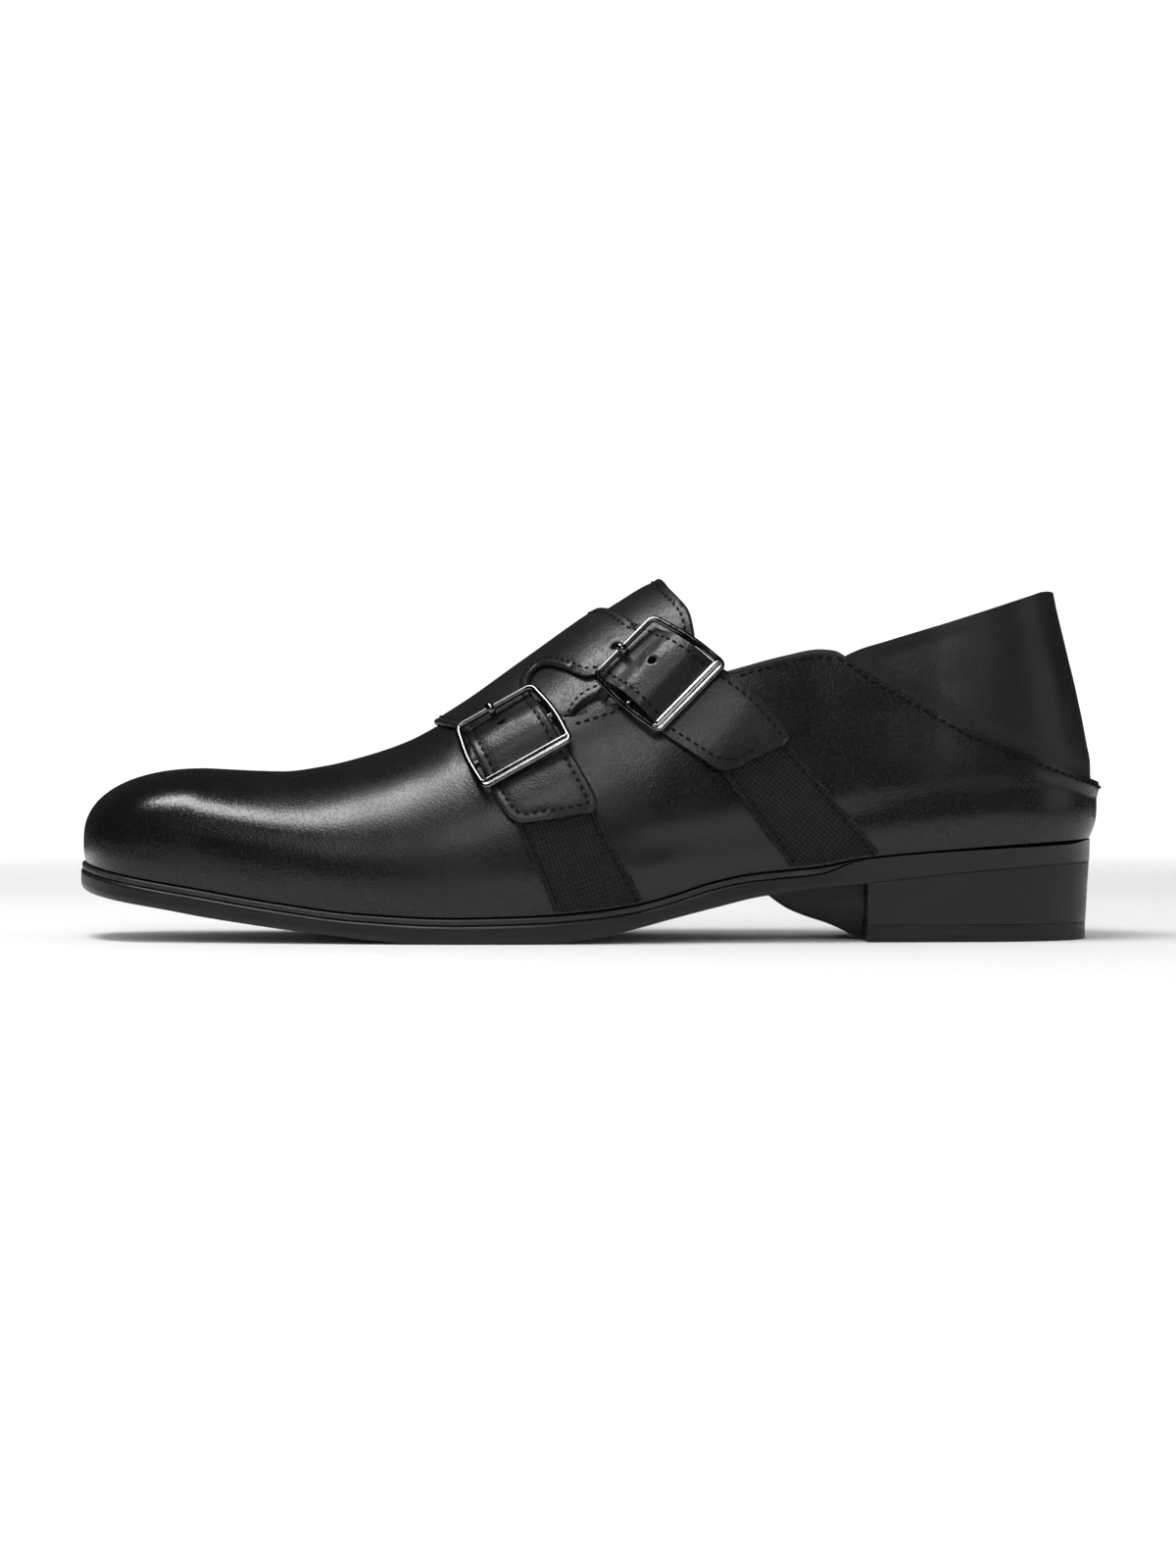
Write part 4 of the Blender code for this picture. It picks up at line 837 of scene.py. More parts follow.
def closed_outline(edges, step, turns=8):
    """Loop from (points, corner) edges; corner is the rounding where the edge ends."""
    lines = [curve_through(points, step) for points, _ in edges]
    corners = [line[-1] for line in lines]
    for k, (_, cut) in enumerate(edges):
        if cut:
            after = (k + 1) % len(edges)
            lines[k] = trimmed(lines[k][::-1], cut)[::-1]
            lines[after] = trimmed(lines[after], cut)
    loop = []
    for k, (_, cut) in enumerate(edges):
        loop += list(lines[k][1:] if loop and not edges[k - 1][1] else lines[k])
        if cut:
            start, end = lines[k][-1], lines[(k + 1) % len(edges)][0]
            for n in range(1, turns):
                t = n / turns
                loop.append(start * (1 - t) ** 2 + corners[k] * 2 * t * (1 - t) + end * t ** 2)
    if norm(loop[0] - loop[-1]) < 1e-4:
        loop.pop()
    return np.array(loop)


def contains(loop, points):
    """Which points a closed loop goes round."""
    a, b = loop, np.roll(loop, -1, axis=0)
    x, y = points[:, 0][:, None], points[:, 1][:, None]
    cross = (a[:, 1] > y) != (b[:, 1] > y)
    rise = np.where(b[:, 1] == a[:, 1], 1e-12, b[:, 1] - a[:, 1])
    at = a[:, 0] + (y - a[:, 1]) * (b[:, 0] - a[:, 0]) / rise
    return (cross & (x < at)).sum(1) % 2 == 1


def clearance(loop, points):
    """Distances from points to a closed line."""
    nearest = np.full(len(points), np.inf)
    for start, step in zip(loop, np.roll(loop, -1, axis=0) - loop):
        off = points - start
        t = np.clip(off @ step / max(1e-9, step @ step), 0, 1)
        nearest = np.minimum(nearest, norm(off - t[:, None] * step, axis=1))
    return nearest


def inset(loop, distance, closed=True):
    """Closed line moved inwards on the last, or an open one to its left, in millimetres."""
    x, w = loop[:, 0], loop[:, 1]
    if closed and (x * np.roll(w, -1) - w * np.roll(x, -1)).sum() < 0:
        distance = -distance
    by_x, by_w = slopes(x, w, 0.2)
    if closed:
        heading = np.roll(loop, -1, axis=0) - np.roll(loop, 1, axis=0)
    else:
        heading = np.gradient(loop, axis=0)
    along = unit(by_x * heading[:, :1] + by_w * heading[:, 1:])
    want = np.cross(unit(np.cross(by_x, by_w)), along) * distance
    xx, ww, xw = (by_x * by_x).sum(-1), (by_w * by_w).sum(-1), (by_x * by_w).sum(-1)
    p, q = (want * by_x).sum(-1), (want * by_w).sum(-1)
    det = xx * ww - xw * xw
    return loop + np.stack([(p * ww - q * xw) / det, (q * xx - p * xw) / det], -1)


BATCH = 400                           # points measured at once
CLOSEST = 0.12                        # points nearer than this to another are left out


def batches(points):
    """Runs of points small enough to measure at once."""
    return (points[k:k + BATCH] for k in range(0, len(points), BATCH))


def gaps(points, others):
    """Distance from each point to the nearest of some others."""
    return np.concatenate([np.sqrt(((part[:, None] - others) ** 2).sum(-1)).min(1)
                           for part in batches(points)])


def filled(rims, step, lines):
    """Triangles over a loop and its holes, with inner points on lines and every step."""
    loop = rims[0]
    edges, start = [], 0
    for rim in rims:
        count = len(rim)
        edges += [(start + k, start + (k + 1) % count) for k in range(count)]
        start += count
    kept = np.vstack(rims)

    def within(spots):
        inside = contains(loop, spots)
        for hole in rims[1:]:
            inside &= ~contains(hole, spots)
        return inside

    for line, room in lines:
        line = line[within(line)]
        line = line[np.minimum.reduce([clearance(rim, line) for rim in rims]) > room]
        for part in batches(line):
            kept = np.vstack([kept, part[gaps(part, kept) > CLOSEST]])
    low, high = loop.min(0), loop.max(0)
    across, down = np.meshgrid(np.arange(low[0], high[0], step),
                               np.arange(low[1], high[1], step * math.sqrt(3) / 2))
    across = across + (np.arange(len(across)) % 2)[:, None] * step / 2
    spots = np.stack([across.ravel(), down.ravel()], -1)
    spots = spots[within(spots)]
    kept = np.vstack([kept, spots[gaps(spots, kept) > step * 0.6]])
    made = geometry.delaunay_2d_cdt([Vector(p) for p in kept], edges, [], 0, 1e-5)
    vertices = np.array([tuple(v) for v in made[0]])
    faces = [tuple(f) for f in made[2]]
    inside = within(np.array([vertices[list(f)].mean(0) for f in faces]))
    return vertices, [f for f, keep in zip(faces, inside) if keep]


def facing_out(vertices, faces, directions):
    """Faces turned so that they look along the directions."""
    first = np.array([f[:3] for f in faces])
    area = np.cross(vertices[first[:, 1]] - vertices[first[:, 0]],
                    vertices[first[:, 2]] - vertices[first[:, 0]])
    wrong = (area * directions[first[:, 0]]).sum(-1) < 0
    return [f[::-1] if flip else f for f, flip in zip(faces, wrong)]


ROUNDING, ROUNDING_DROP = 0.7, 0.35   # cut edges are rounded over this distance
EDGE_BULGE = 0.2                      # and stand out this much halfway down
CHANNEL, CHANNEL_DEPTH, CHANNEL_WIDTH = 2.3, 0.22, 0.5      # stitch lines inside an edge
HOLE_DIP, HOLE_DIP_AT, HOLE_DIP_WIDTH = 0.22, 0.7, 0.5      # leather pressed in round a hole


def patch(name, loop, step, outer, inner, finish, holes=(), channel=CHANNEL, stitched=None,
          fine=(), **kind):
    """Wall over a loop of (station, girth), with rounded edges and a stitch channel."""
    lines = [(inset(loop, d), d * 0.7) for d in (0.3, 0.8, channel - 0.5, channel,
                                                  channel + 0.5)]
    lines += fine
    for hole in holes:
        middle = hole.mean(0)
        lines += [(middle + (hole - middle) * grow, 0) for grow in (1.25, 1.7)]
    flat, faces = filled([loop, *holes], step, lines)
    x, w = flat.T
    points, directions = surface(x, w), normal(x, w)
    near, *close = (clearance(surface(*rim.T), points) for rim in (loop, *holes))
    drop = ROUNDING_DROP * (1 - np.sqrt(1 - np.clip(1 - near / ROUNDING, 0, 1) ** 2))
    for gap in close:
        drop = drop - HOLE_DIP * np.exp(-((gap - HOLE_DIP_AT) / HOLE_DIP_WIDTH) ** 2)
    seam = np.exp(-((near - channel) / CHANNEL_WIDTH) ** 2)
    if stitched is not None:
        seam = seam * stitched(x, w)
    drop = drop + CHANNEL_DEPTH * seam
    wall(name, points, facing_out(points, faces, directions), directions,
         outer(x, w) - drop, inner(x, w), EDGE_BULGE, finish, **kind)


# ---- stitches

STITCH_SIDES = 6
STITCH_RINGS = ((-0.5, 0.15), (-0.42, 0.75), (-0.2, 1), (0.2, 1), (0.42, 0.75), (0.5, 0.15))


def thread(name, path, outs, pitch=2.5, length=1.8, thick=0.36, lowest=0, slot="black_leather"):
    """Row of stitches along a line of points on a surface, none below lowest."""
    run = run_of(path)
    count = int(run[-1] / pitch)
    share, size = np.array(STITCH_RINGS).T[..., None]
    cos, sin = (wave[:, None] for wave in circle(STITCH_SIDES))
    sunk = thick * 0.45 - 1.1 * thick * (2 * share) ** 4
    vertices, faces = [], []

    def at(values, goal):
        return np.stack([np.interp(goal, run, values[:, c]) for c in range(3)], -1)

    for k in range(count):
        middle = (k + 0.5) * run[-1] / count
        if at(path, middle)[2] < lowest:
            continue
        goals = middle + length * share[:, 0]
        spots, up = at(path, goals), unit(at(outs, goals))
        side = unit(np.cross(unit(spots[-1] - spots[0]), up))
        ring = side[:, None] * cos + up[:, None] * sin
        base = len(vertices) * ring.shape[0] * ring.shape[1]
        vertices.append((spots + up * sunk)[:, None] + ring * thick * size[..., None])
        faces += strips(len(STITCH_RINGS), STITCH_SIDES, wrapped=True, base=base)
        faces += caps(len(STITCH_RINGS), STITCH_SIDES, base)
    add_piece(name, np.concatenate(vertices).reshape(-1, 3), faces, THREAD, slot=slot)


def stitch(name, line, height, **kind):
    """Row of stitches along (station, girth) points at a height off the last."""
    thread("thread_" + name, shell(*line.T, height), normal(*line.T), **kind)


# ---- tongue

TONGUE_LAP_X, TONGUE_CURL, TONGUE_CURL_GIRTH = -1, 1.4, 34
TONGUE_END = ((19.8, RIDGE), (22, 103.3), (25.3, 99.7), (28.7, 94.8), (30.5, 86))
TONGUE_HIDDEN = ((30.5, 86), (28, 73), (20, 65.5), (8, 61), (-1, 59))
THROAT_STATIONS = (-37, -35, -32, -28.5, -24.5, -20, -15, -10, SLIT_X)
THROAT_LAP = 1.2                      # the vamp runs on over the tongue without a break
TONGUE_CORNER, TONGUE_STEP = 3, 1.5
SLIT_WIDTH, SLIT_LENGTH, SLIT_SEAM = 3.8, 7, 1.6


def slit_lip(x):
    """How far the opening's upper lip is above the quarter's edge."""
    t = np.clip((x - SLIT_X) / SLIT_LENGTH, 0, 1)
    return SLIT_WIDTH * np.sqrt(1 - (1 - t) ** 2)


def quarter_girth(x, side):
    """How far the quarters' top edge is from the crown, along the last."""
    return np.abs(girth_at(x, top_line(x), side))


def tongue_dip(x, w):
    """How far the tongue sinks to pass inside the quarters."""
    above = quarter_girth(x, np.where(w < 0, LATERAL, MEDIAL)) - np.abs(w)
    near = ease((slit_lip(x) - above) / 0.8) * (x > SLIT_X)
    wide = ease((11 - above) / 7)
    hidden = ease((x - 7) / 7)
    dip = (WALL + GAP) * np.maximum(near, wide * hidden)
    bead = 0.16 * np.exp(-((above - slit_lip(x) - 0.45) / 0.4) ** 2) * (x > SLIT_X) * (1 - hidden)
    curl = TONGUE_CURL * ease((x - 13) / 11) * ease(1 - np.abs(w) / TONGUE_CURL_GIRTH)
    return dip + curl - bead + 0.04 * ease(-(x - SLIT_X) / 2)


def lip_line(side, away):
    """Line along the opening's upper lip, some way above it."""
    x = SLIT_X + SLIT_LENGTH * (1 - np.cos(np.linspace(0.12, math.pi / 2, 26)))
    x = np.append(x, np.linspace(x[-1] + 0.8, 9, 3))
    return np.stack([x, side * (quarter_girth(x, side) - slit_lip(x) - away)], -1)


def make_tongue():
    """Tongue: one skin with the vamp ahead of the slits, inside the quarters behind."""
    edges = []
    for side in (LATERAL, MEDIAL):
        front = [(THROAT_X - THROAT_LAP, 0)]
        for x in (*THROAT_STATIONS, TONGUE_LAP_X):
            lap = THROAT_LAP if x < SLIT_X - 0.1 else -0.6
            front.append((x, side * (float(quarter_girth(x, side)[0]) + lap)))
        hidden, end = (on_side(rows[::-1], side) for rows in (TONGUE_HIDDEN, TONGUE_END))
        if side == LATERAL:
            edges = [(front, 0), ([front[-1], hidden[0]], 0), (hidden, TONGUE_CORNER),
                     (end, 0)]
        else:
            edges += [(end[::-1], TONGUE_CORNER), (hidden[::-1], 0),
                      ([hidden[0], front[-1]], 0), (front[::-1], 0)]
    loop = closed_outline(edges, TONGUE_STEP)
    for _ in range(8):
        smooth = (np.roll(loop, 1, axis=0) + 2 * loop + np.roll(loop, -1, axis=0)) / 4
        tip = (loop[:, 0] > 15) & (np.abs(loop[:, 1]) < 22)
        loop = np.where(tip[:, None], smooth, loop)

    def at_end(x, w):
        return (x > 12) & (np.abs(w) < 60)

    fine = [(lip_line(side, away), 0.4) for side in (LATERAL, MEDIAL)
            for away in (-1.2, -0.8, -0.4, 0, 0.45, 0.9, 1.4)]
    patch("tongue_leather", loop, 1.7, lambda x, w: -tongue_dip(x, w),
          lambda x, w: -tongue_dip(x, w) - WALL, CALF_STRAP, stitched=at_end, fine=fine,
          replaces="tongue")
    line = inset(loop, CHANNEL)
    line = line[at_end(*line.T)]
    line = line[np.argsort(line[:, 1])]
    stitch("tongue", line, -tongue_dip(*line.T) - CHANNEL_DEPTH)


# ---- buckles

FRAME_OFFSET, FRAME_LENGTHS = 4.2, {"front": 26.5, "rear": 27.7}
INSTEP_HALF, MIDDLE_HALF, TAIL_HALF = 13.2, 14.9, 14.7
INSTEP_BAR, TAIL_BAR, RAIL, FRAME_THICKNESS = 1.8, 3.8, 2, 1.8
INSTEP_CORNER, TAIL_CORNER = 2.2, 1.8
CENTRE_BAR_RADIUS, CENTRE_BAR_DROP = 0.8, 1.1
PRONG_SHIFT, PRONG_REACH, PRONG_HALF_WIDTH, PRONG_HALF_HEIGHT = 1.2, 2.3, 1.15, 0.7
# (station, height) at the instep bar and at the tail bar, turn, shift towards the heel
BUCKLE_PLACES = {
    "front": ((-25.7, 66.8), (-17, 50.2), 0, 0.9),
    "rear": ((9.7, 84.3), (30.6, 69), 0.06, 0.2),
}


class Seat:
    """Plane of a buckle: its middle and its directions along, across and out."""

    def __init__(self, instep, tail, turn, shift):
        x, z = np.array([instep, tail]).T
        w = girth_at(x, z, LATERAL, FRAME_OFFSET)
        ends = shell(x, w, FRAME_OFFSET)
        along = unit(ends[1] - ends[0])
        across = unit(np.cross(along, normal(x, w).sum(0)))
        self.out = unit(np.cross(across, along))
        if across[0] < 0:
            across = -across
        self.along = along * math.cos(turn) - across * math.sin(turn)
        self.across = across * math.cos(turn) + along * math.sin(turn)
        self.middle = (ends[0] + ends[1]) / 2 + self.across * shift
        x = x.sum(keepdims=True) / 2
        w = girth_at(x, self.middle[2], LATERAL, FRAME_OFFSET)
        self.height = float((self.middle - surface(x, w)[0]) @ self.out)

    def place(self, across, along, out):
        """Points given in the buckle's own directions."""
        across, along, out = (np.asarray(v, float)[..., None] for v in (across, along, out))
        return self.middle + self.across * across + self.along * along + self.out * out

    def under(self, across, along):
        """Stations and girths of the last below places on the buckle."""
        return nearest_on_last(self.place(across, along, 0))


SEATS = {name: Seat(*ends) for name, ends in BUCKLE_PLACES.items()}


def tube(name, rings, finish, closed=False, **kind):
    """Bar through rings of points."""
    count, sides = rings.shape[:2]
    faces = strips(count, sides, closed, True) + ([] if closed else caps(count, sides))
    add_piece(name, rings.reshape(-1, 3), faces, finish, **kind)


def squared(wave):
    """A sine or cosine bent towards a rounded square."""
    return np.sign(wave) * np.abs(wave) ** (2 / 2.2)


def make_buckle(which):
    """Frame, centre bar and prong tip of one buckle."""
    seat = SEATS[which]
    kind = {"replaces": "buckle_" + which, "slot": "buckle_metal"}
    end = FRAME_LENGTHS[which] / 2
    top, bottom = INSTEP_BAR / 2 - end, end - TAIL_BAR / 2
    near, mid, far = (half - RAIL / 2 for half in (INSTEP_HALF, MIDDLE_HALF, TAIL_HALF))
    path = closed_outline([([(-near, top), (near, top)], INSTEP_CORNER),
                           ([(near, top), (mid, 0), (far, bottom)], TAIL_CORNER),
                           ([(far, bottom), (-far, bottom)], TAIL_CORNER),
                           ([(-far, bottom), (-mid, 0), (-near, top)], INSTEP_CORNER)], 0.7)
    heading = unit(np.roll(path, -1, axis=0) - np.roll(path, 1, axis=0))
    behind = path[:, 1:] > 0
    half = (heading[:, :1] ** 2 * np.where(behind, TAIL_BAR, INSTEP_BAR)
            + heading[:, 1:] ** 2 * RAIL) / 2
    tail = heading[:, :1] ** 2 * behind
    ring_side, ring_out = (squared(wave) for wave in circle(24, 0.5))
    side = np.stack([heading[:, 1], -heading[:, 0]], -1)
    outward = np.where((side * path).sum(-1) > 0, 1, -1)[:, None] * ring_side
    inner = np.sqrt(np.clip(1 - ((outward + 0.36) / 0.66) ** 2, 0, 1))
    outer = 0.9 * np.sqrt(np.clip(1 - ((outward - 0.62) / 0.4) ** 2, 0, 1))
    ridged = 0.25 + 0.75 * np.maximum(inner, outer)
    rise = np.where(ring_out > 0, ring_out * (1 - tail) + ridged * tail, ring_out)
    out = FRAME_THICKNESS / 2 * np.where(np.abs(outward) > 0.97, ring_out, rise)
    across, along = (path[:, c:c + 1] + side[:, c:c + 1] * half * ring_side for c in (0, 1))
    tube("frame_" + which, seat.place(across, along, out), METAL, closed=True, sharp=60, **kind)
    cos, sin = (wave[:, None] for wave in circle(16))
    spots = seat.place(np.linspace(-mid, mid, 9), 0, -CENTRE_BAR_DROP)
    ring = (seat.along * cos + seat.out * sin) * CENTRE_BAR_RADIUS
    tube("centre_bar_" + which, spots[:, None] + ring, METAL, **kind)
    run = np.linspace(-1, 1, 13)
    over = FRAME_THICKNESS / 2 + 0.3 - 1.5 * np.abs(run) ** 3
    spots = seat.place(-PRONG_SHIFT + 0 * run, top + PRONG_REACH * run + 0.1, over)
    ring = seat.across * cos * PRONG_HALF_WIDTH + seat.out * sin * PRONG_HALF_HEIGHT
    taper = 1 - 0.35 * np.abs(run) ** 4
    tube("prong_" + which, spots[:, None] + ring * taper[:, None, None], METAL, sharp=60, **kind)


# ---- straps and elastics

STRAP_OUT, ELASTIC_OUT = GAP + 1.6, GAP + 1.1
STRAP_CORNER, PATCH_STEP = 4.5, 1.1
STITCHES_ABOVE = {"straps": 15, "elastics": 12}      # the sole hides the rest
ARCH_TOP, ARCH_FOOT, ARCH_SPARE = 3.6, 9.6, 0.25
TAIL_RISE = {"front": (9, 22), "rear": (12, 27)}
PANEL_FRONT_INNER = ((-17, FOOT), (-21.5, 25), (-30, 42), (-37.5, 55.5), (-42, 62.8))
PANEL_FRONT_OUTER = ((-44.5, RIDGE), (-41.5, 63))
FRONT_TAIL_END = ((-20.8, 33.5), (4, 37.5))
BETWEEN_STRAPS = ((-16.4, 76.3), (-13.4, 79.9), (-7.7, 79.2), (-1.5, 76.4))
REAR_TAIL_END = ((38, 47.3), (58.3, 57.5))
PANEL_REAR_OUTER = ((12.2, 92.7),)
PANEL_REAR_INNER = ((3.2, RIDGE), (8, 92), (14, 80), (22.7, 62), (37, 45),
                    (46, 30), (50, FOOT))
WINDOW_ROWS = ((-14.5, 10.9), (-9.5, 10.9), (0, 11.3), (9.5, 11.7), (15, 12.4))
WIDE_WINDOW_ROWS = ((-14.5, 10.9), (-9.5, 11.2), (0, 12), (9.5, 12.9), (15, 13.4))
HOLE_PLACES = {"front": ((-0.6, -5.2), (-0.5, -16.6)), "rear": ((1.2, -3), (-0.5, -17.2))}
HOLE_RADIUS, TAPE_CHANNEL = 1.35, 1.6
ELASTIC_EDGES = {
    "front": (((-9.3, FOOT), (-20.6, 35.5)), ((15.2, FOOT), (-0.6, 42))),
    "rear": (((57, FOOT), (35.6, 51.4)), ((82.5, FOOT), (52.6, 60.5))),
}


def strap_lift(x, w):
    """How far the straps stand off: over the centre bars and over the elastics."""
    points = shell(x, w, GAP)
    lift = np.zeros(np.shape(x))
    for which, seat in SEATS.items():
        away = points - seat.middle
        across, along = np.abs(away @ seat.across), away @ seat.along
        fade = ease((16 - across) / 2.5) * (np.abs(along) < 45) * (w <= 0)
        arch = seat.height - CENTRE_BAR_DROP + CENTRE_BAR_RADIUS + ARCH_SPARE
        share = ease((ARCH_FOOT - np.abs(along)) / (ARCH_FOOT - ARCH_TOP + 1.6))
        lift = lift + fade * arch * share
        start, full = TAIL_RISE[which]
        lift = lift + fade * ELASTIC_OUT * ease((along - start) / (full - start))
    return lift


def window_edge(which, side):
    """Edge of a strap inside its frame, toe side from the instep bar, the other back to it."""
    rows = np.array(WIDE_WINDOW_ROWS if (which, side) == ("rear", 1) else WINDOW_ROWS)
    return SEATS[which].under(side * rows[:, 1], rows[:, 0])[::-side].tolist()


def make_straps():
    """Panel over the instep with the two straps, their tails, holes and stitches."""
    def edge(rows, side=LATERAL):
        return on_side(rows, side, STRAP_OUT)

    front = (edge(PANEL_FRONT_INNER, MEDIAL) + edge(PANEL_FRONT_OUTER)
             + window_edge("front", -1) + edge(FRONT_TAIL_END[:1]))
    middle = (edge(FRONT_TAIL_END[1:]) + window_edge("front", 1) + edge(BETWEEN_STRAPS)
              + window_edge("rear", -1) + edge(REAR_TAIL_END[:1]))
    rear = (edge(REAR_TAIL_END[1:]) + window_edge("rear", 1) + edge(PANEL_REAR_OUTER)
            + edge(PANEL_REAR_INNER, MEDIAL))
    loop = closed_outline([(run, STRAP_CORNER) for run in (
        front, edge(FRONT_TAIL_END), middle, edge(REAR_TAIL_END))] + [
            (rear, 0), ([rear[-1], front[0]], 0)], PATCH_STEP)
    cos, sin = circle(20)
    holes = [seat.under(across + HOLE_RADIUS * cos, along + HOLE_RADIUS * sin)
             for which, seat in SEATS.items() for across, along in HOLE_PLACES[which]]

    def outer(x, w):
        return STRAP_OUT + strap_lift(x, w)

    patch("strap_leather", loop, 1.5, outer, lambda x, w: GAP + strap_lift(x, w), CALF_STRAP,
          holes=holes, replaces="strap_panel")
    line = inset(loop, CHANNEL)
    line = line[clearance(loop, line) > CHANNEL * 0.55]
    breaks = np.flatnonzero(norm(np.roll(line, -1, axis=0) - line, axis=1) > 6)
    line = np.roll(line, -(breaks[0] + 1) if len(breaks) else 0, axis=0)
    stitch("straps", line, outer(*line.T) - CHANNEL_DEPTH,
           lowest=STITCHES_ABOVE["straps"])


def make_elastic(which):
    """Elastic tape from under a tail down to the sole."""
    sides = []
    for start, end in ELASTIC_EDGES[which]:
        low = float(side_ribs(start[0], LATERAL).point([1.6 / GIRTH])[0, 2])
        t = np.linspace(0, 1, 13)
        x = start[0] + (end[0] - start[0]) * t
        w = girth_at(x, low + (end[1] - low) * t, LATERAL, ELASTIC_OUT)
        w[0] = FOOT_MARGIN[LATERAL] - GIRTH
        sides.append(np.stack([x, w], -1))
    fore, aft = sides
    loop = closed_outline([(fore, 0), ([fore[-1], aft[-1]], 0), (aft[::-1], 0),
                           ([aft[0], fore[0]], 0)], PATCH_STEP)
    patch("tape_" + which, loop, 1.5, lambda x, w: ELASTIC_OUT, lambda x, w: GAP, TAPE[which],
          channel=TAPE_CHANNEL, replaces="elastic_" + which, slot="elastic")
    for name, line, push in (("fore", fore, -TAPE_CHANNEL), ("aft", aft, TAPE_CHANNEL)):
        stitch(which + "_" + name, inset(curve_through(line, 1), push, closed=False),
               ELASTIC_OUT - CHANNEL_DEPTH, slot="elastic",
               lowest=STITCHES_ABOVE["elastics"])


# ---- heel

RAMP_ROWS = ((52.3, 12.9), (58, 8.8), (63.5, 6.6), (69, 4.8), (73.5, 2.9), (76.8, 1.2),
             (79, 1))
RAMP_HALF_WIDTH, RAMP_NARROWING = 19, 0.16


def make_heel():
    """Heel block and the ramp ahead of it."""
    taper = HEEL_TAPER * 0.9 - STACK_START
    edge = [(STACK_START + inset + taper * (1 - height), height)
            for inset, height in rounded(0.06, 0.008, 0.004, 3)]
    plate("heel_stack", heel_ribs(), False, edge, lambda x: underside(x) - 0.03,
          lambda x: TOP_LIFT_HEIGHT + 0.03, SOLE, replaces="heel_block")
    line = curve(RAMP_ROWS)
    rings = []
    for x in (*np.linspace(RAMP_ROWS[0][0], 79, 28), BREAST_X - GAP + 0.1, 82):
        half = RAMP_HALF_WIDTH - RAMP_NARROWING * (BREAST_X - x)
        low = float(line(x)) if x <= 79 else TOP_LIFT_HEIGHT + GAP + 0.3
        high = float(underside(x)) - GAP - (0.4 if x > 79.1 else 0)
        cut = min(1.2, (high - low) * 0.3)
        right = [(half, low + cut), (half - cut * 0.3, low + cut * 0.3), (half - cut, low)]
        rings.append([(x, float(middle_at(x)) + y, z) for y, z in (
            (-half, high), (half, high), *right, *((-y, z) for y, z in right[::-1]))])
    tube("heel_ramp", np.array(rings), SOLE, replaces="heel_block", slot="sole_leather",
         sharp=35)


# ---- seams of the quarters

QUARTER_SEAM, BACK_SEAM = 2.1, 1.5    # stitches run this far below the edge
BIND_REACH, BIND_THICK = 1.25, 0.28


def rib_line(ribs, line, drop):
    """Points and outward directions along a line on ribs, some way below it."""
    share = ribs.share_on(lambda x: line(x) - drop)
    spots = ribs.point(share)
    out = np.cross(ribs.point(share + 0.01) - spots, np.gradient(spots, axis=0))
    return spots, unit(out) * np.sign((out[:, :2] * ribs.direction).sum(-1))[:, None]


def make_seams():
    """Stitches along the quarters' top edge, round the slits and along the back seam."""
    turn = np.linspace(1.1, 2.6, 7)
    for side, name in SIDE_NAMES.items():
        ribs = side_ribs(np.linspace(SLIT_X + 1, 70, 96), side)
        thread("thread_quarter_" + name, *rib_line(ribs, top_line, QUARTER_SEAM))
        tip = np.stack([SLIT_X - SLIT_SEAM * np.sin(turn), side * (
            quarter_girth(SLIT_X, side) - SLIT_SEAM * np.cos(turn))], -1)
        stitch("slit_" + name, np.vstack([lip_line(side, SLIT_SEAM)[::-1], tip]), 0.04,
               pitch=2, length=1.4, thick=0.24)
    ribs = round_heel(np.linspace(71, HEEL_X, 40), 90)
    thread("thread_back", *rib_line(ribs, top_line, BACK_SEAM), pitch=2.8, length=2.2,
           thick=0.42)


def make_binding(side, name):
    """Narrow leather folded over the top edge of one quarter."""
    ribs = side_ribs(np.linspace(7, 73.5, 90), side)
    spots, outs = rib_line(ribs, top_line, 0)
    ups = unit(spots - rib_line(ribs, top_line, BIND_REACH)[0])
    rows = ((BIND_THICK * 0.4, -BIND_REACH), (BIND_THICK, -BIND_REACH * 0.75),
            (BIND_THICK, -0.3), (BIND_THICK * 0.3, BIND_THICK * 0.7),
            (-0.4 * WALL, BIND_THICK), (-0.75 * WALL, BIND_THICK * 0.8),
            (-WALL - BIND_THICK, -0.35), (-WALL - BIND_THICK, -BIND_REACH),
            (-WALL + 0.4, -BIND_REACH - 0.2), (-0.4, -BIND_REACH - 0.1))
    tube("binding_" + name, np.stack([spots + (outs * out + ups * up) for out, up in rows], 1),
         LINING)


for make in (make_soles, make_heel, make_upper, make_back, make_tongue, make_straps):
    make()
for which in SEATS:
    make_elastic(which)
    make_buckle(which)
make_seams()
for side, name in SIDE_NAMES.items():
    make_binding(side, name)

# ---- studio

SWEEP_FLAT, SWEEP_BEND, SWEEP_HEIGHT = 1.5, 0.8, 2.6     # pale round backdrop, metres
FLOOR_SHINE = 0.7


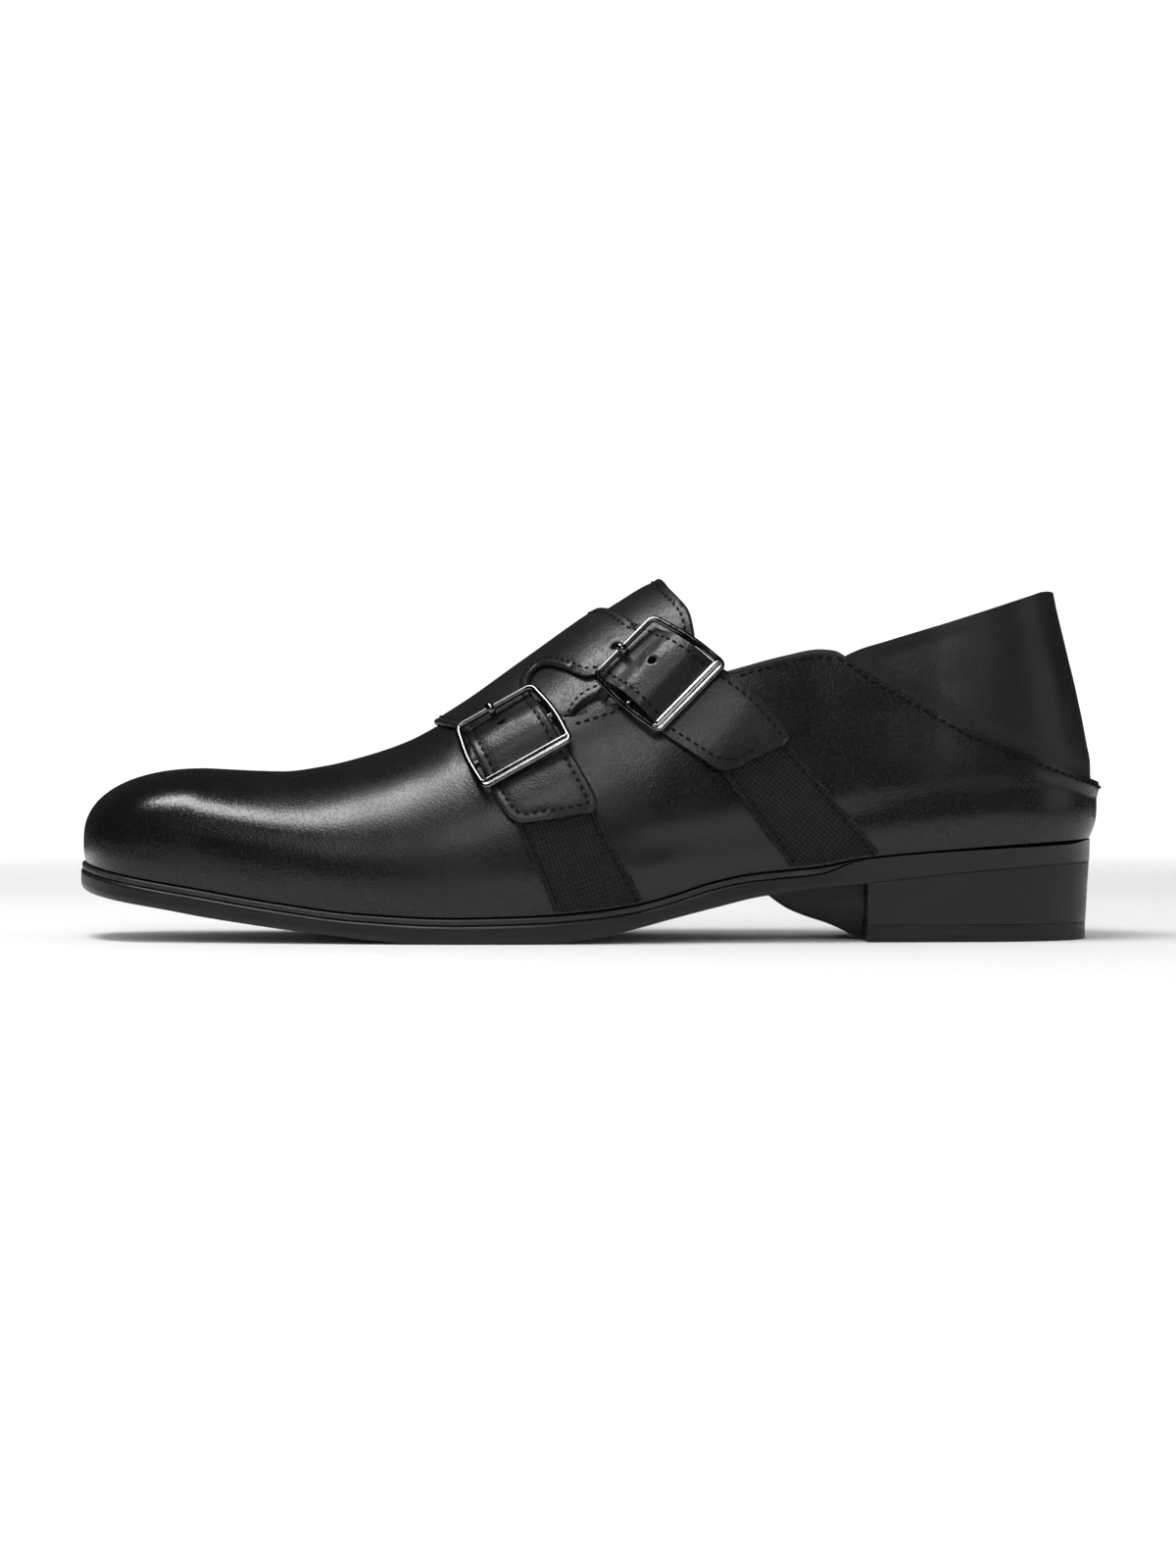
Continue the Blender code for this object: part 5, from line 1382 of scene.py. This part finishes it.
def make_backdrop():
    """Floor that bends up into a wall all round."""
    bend = math.pi / 2 * np.arange(1, 13) / 12
    radius = [0, FLOOR_SHINE, SWEEP_FLAT, *(SWEEP_FLAT + SWEEP_BEND * np.sin(bend)),
              SWEEP_FLAT + SWEEP_BEND]
    height = [0, 0, 0, *(SWEEP_BEND * (1 - np.cos(bend))), SWEEP_HEIGHT]
    cos, sin = circle(96)
    rings = np.array([np.stack([r * cos, r * sin, z + 0 * cos], -1)
                      for r, z in zip(radius, height)])
    paper = Nodes("backdrop_paper", Base_Color=(0.74, 0.74, 0.74, 1), Roughness=0.85,
                  Specular_IOR_Level=0.1, Emission_Color=(1, 1, 1, 1))
    squares = [paper.math("POWER", paper.axis(letter), 2) for letter in "XY"]
    away = paper.math("POWER", paper.math("ADD", *squares), 0.5)
    paper.give(paper.ranged(away, 0.4, 1.5, 0, 0.5), "Emission Strength")
    for name, part in (("floor", rings[:2]), ("backdrop", rings[1:])):
        faces = strips(len(part), len(cos), wrapped=True)
        sheet = add_object(name, *welded(part.reshape(-1, 3), faces), paper.material, 180)
        sheet.visible_glossy = name == "floor"      # the wall isn't mirrored in the leather


def add_to_scene(name, data, place, turn):
    """Light or camera in its place."""
    made = bpy.data.objects.new(name, data)
    made.location, made.rotation_euler = place, turn
    bpy.context.scene.collection.objects.link(made)
    return made


LIGHTS_AIM = Vector((0, 0, 0.05))


def softbox(name, place, size, power):
    """Rectangular soft light in metres and watts."""
    light = bpy.data.lights.new(name, "AREA")
    light.shape = "RECTANGLE"
    light.size, light.size_y = size
    light.energy = power
    add_to_scene(name, light, place,
                 (LIGHTS_AIM - Vector(place)).to_track_quat("-Z", "Y").to_euler())


make_backdrop()
softbox("key_top", (-0.36, -0.26, 1.2), (0.8, 0.32), 13.5)
softbox("fill_front", (-0.1, -1.55, 1.05), (0.7, 0.6), 6)
softbox("fill_heel", (1.6, -0.5, 0.45), (0.8, 0.6), 1.5)

world = bpy.data.worlds.new("studio")
bpy.context.scene.world = world
world.use_nodes = True
tree = world.node_tree
aim = add_node(tree, "TexCoord", "Generated", {})
facing = add_node(tree, "VectorMath", "Value", {0: aim, 1: (0.45, 0.89, 0)},
                  operation="DOT_PRODUCT")
glow = add_node(tree, "MapRange", "Result", {
    "Value": facing, "From Min": -0.3, "From Max": 0.9, "To Min": 0.03, "To Max": 0.6},
    interpolation_type="SMOOTHSTEP")
tree.links.new(glow, tree.nodes["Background"].inputs["Strength"])
bpy.context.scene.view_settings.view_transform = "Standard"

CAMERA_AWAY, CAMERA_HEIGHT, VIEW_HEIGHT = 0.93, 0.045, 0.46
camera = bpy.data.cameras.new("camera")
camera.sensor_fit = "AUTO"
camera.sensor_width = 36
camera.lens = camera.sensor_width * CAMERA_AWAY / VIEW_HEIGHT
camera.clip_start = 0.01
bpy.context.scene.camera = add_to_scene(
    "camera", camera, (0, -CAMERA_AWAY, CAMERA_HEIGHT), (math.pi / 2, 0, 0))
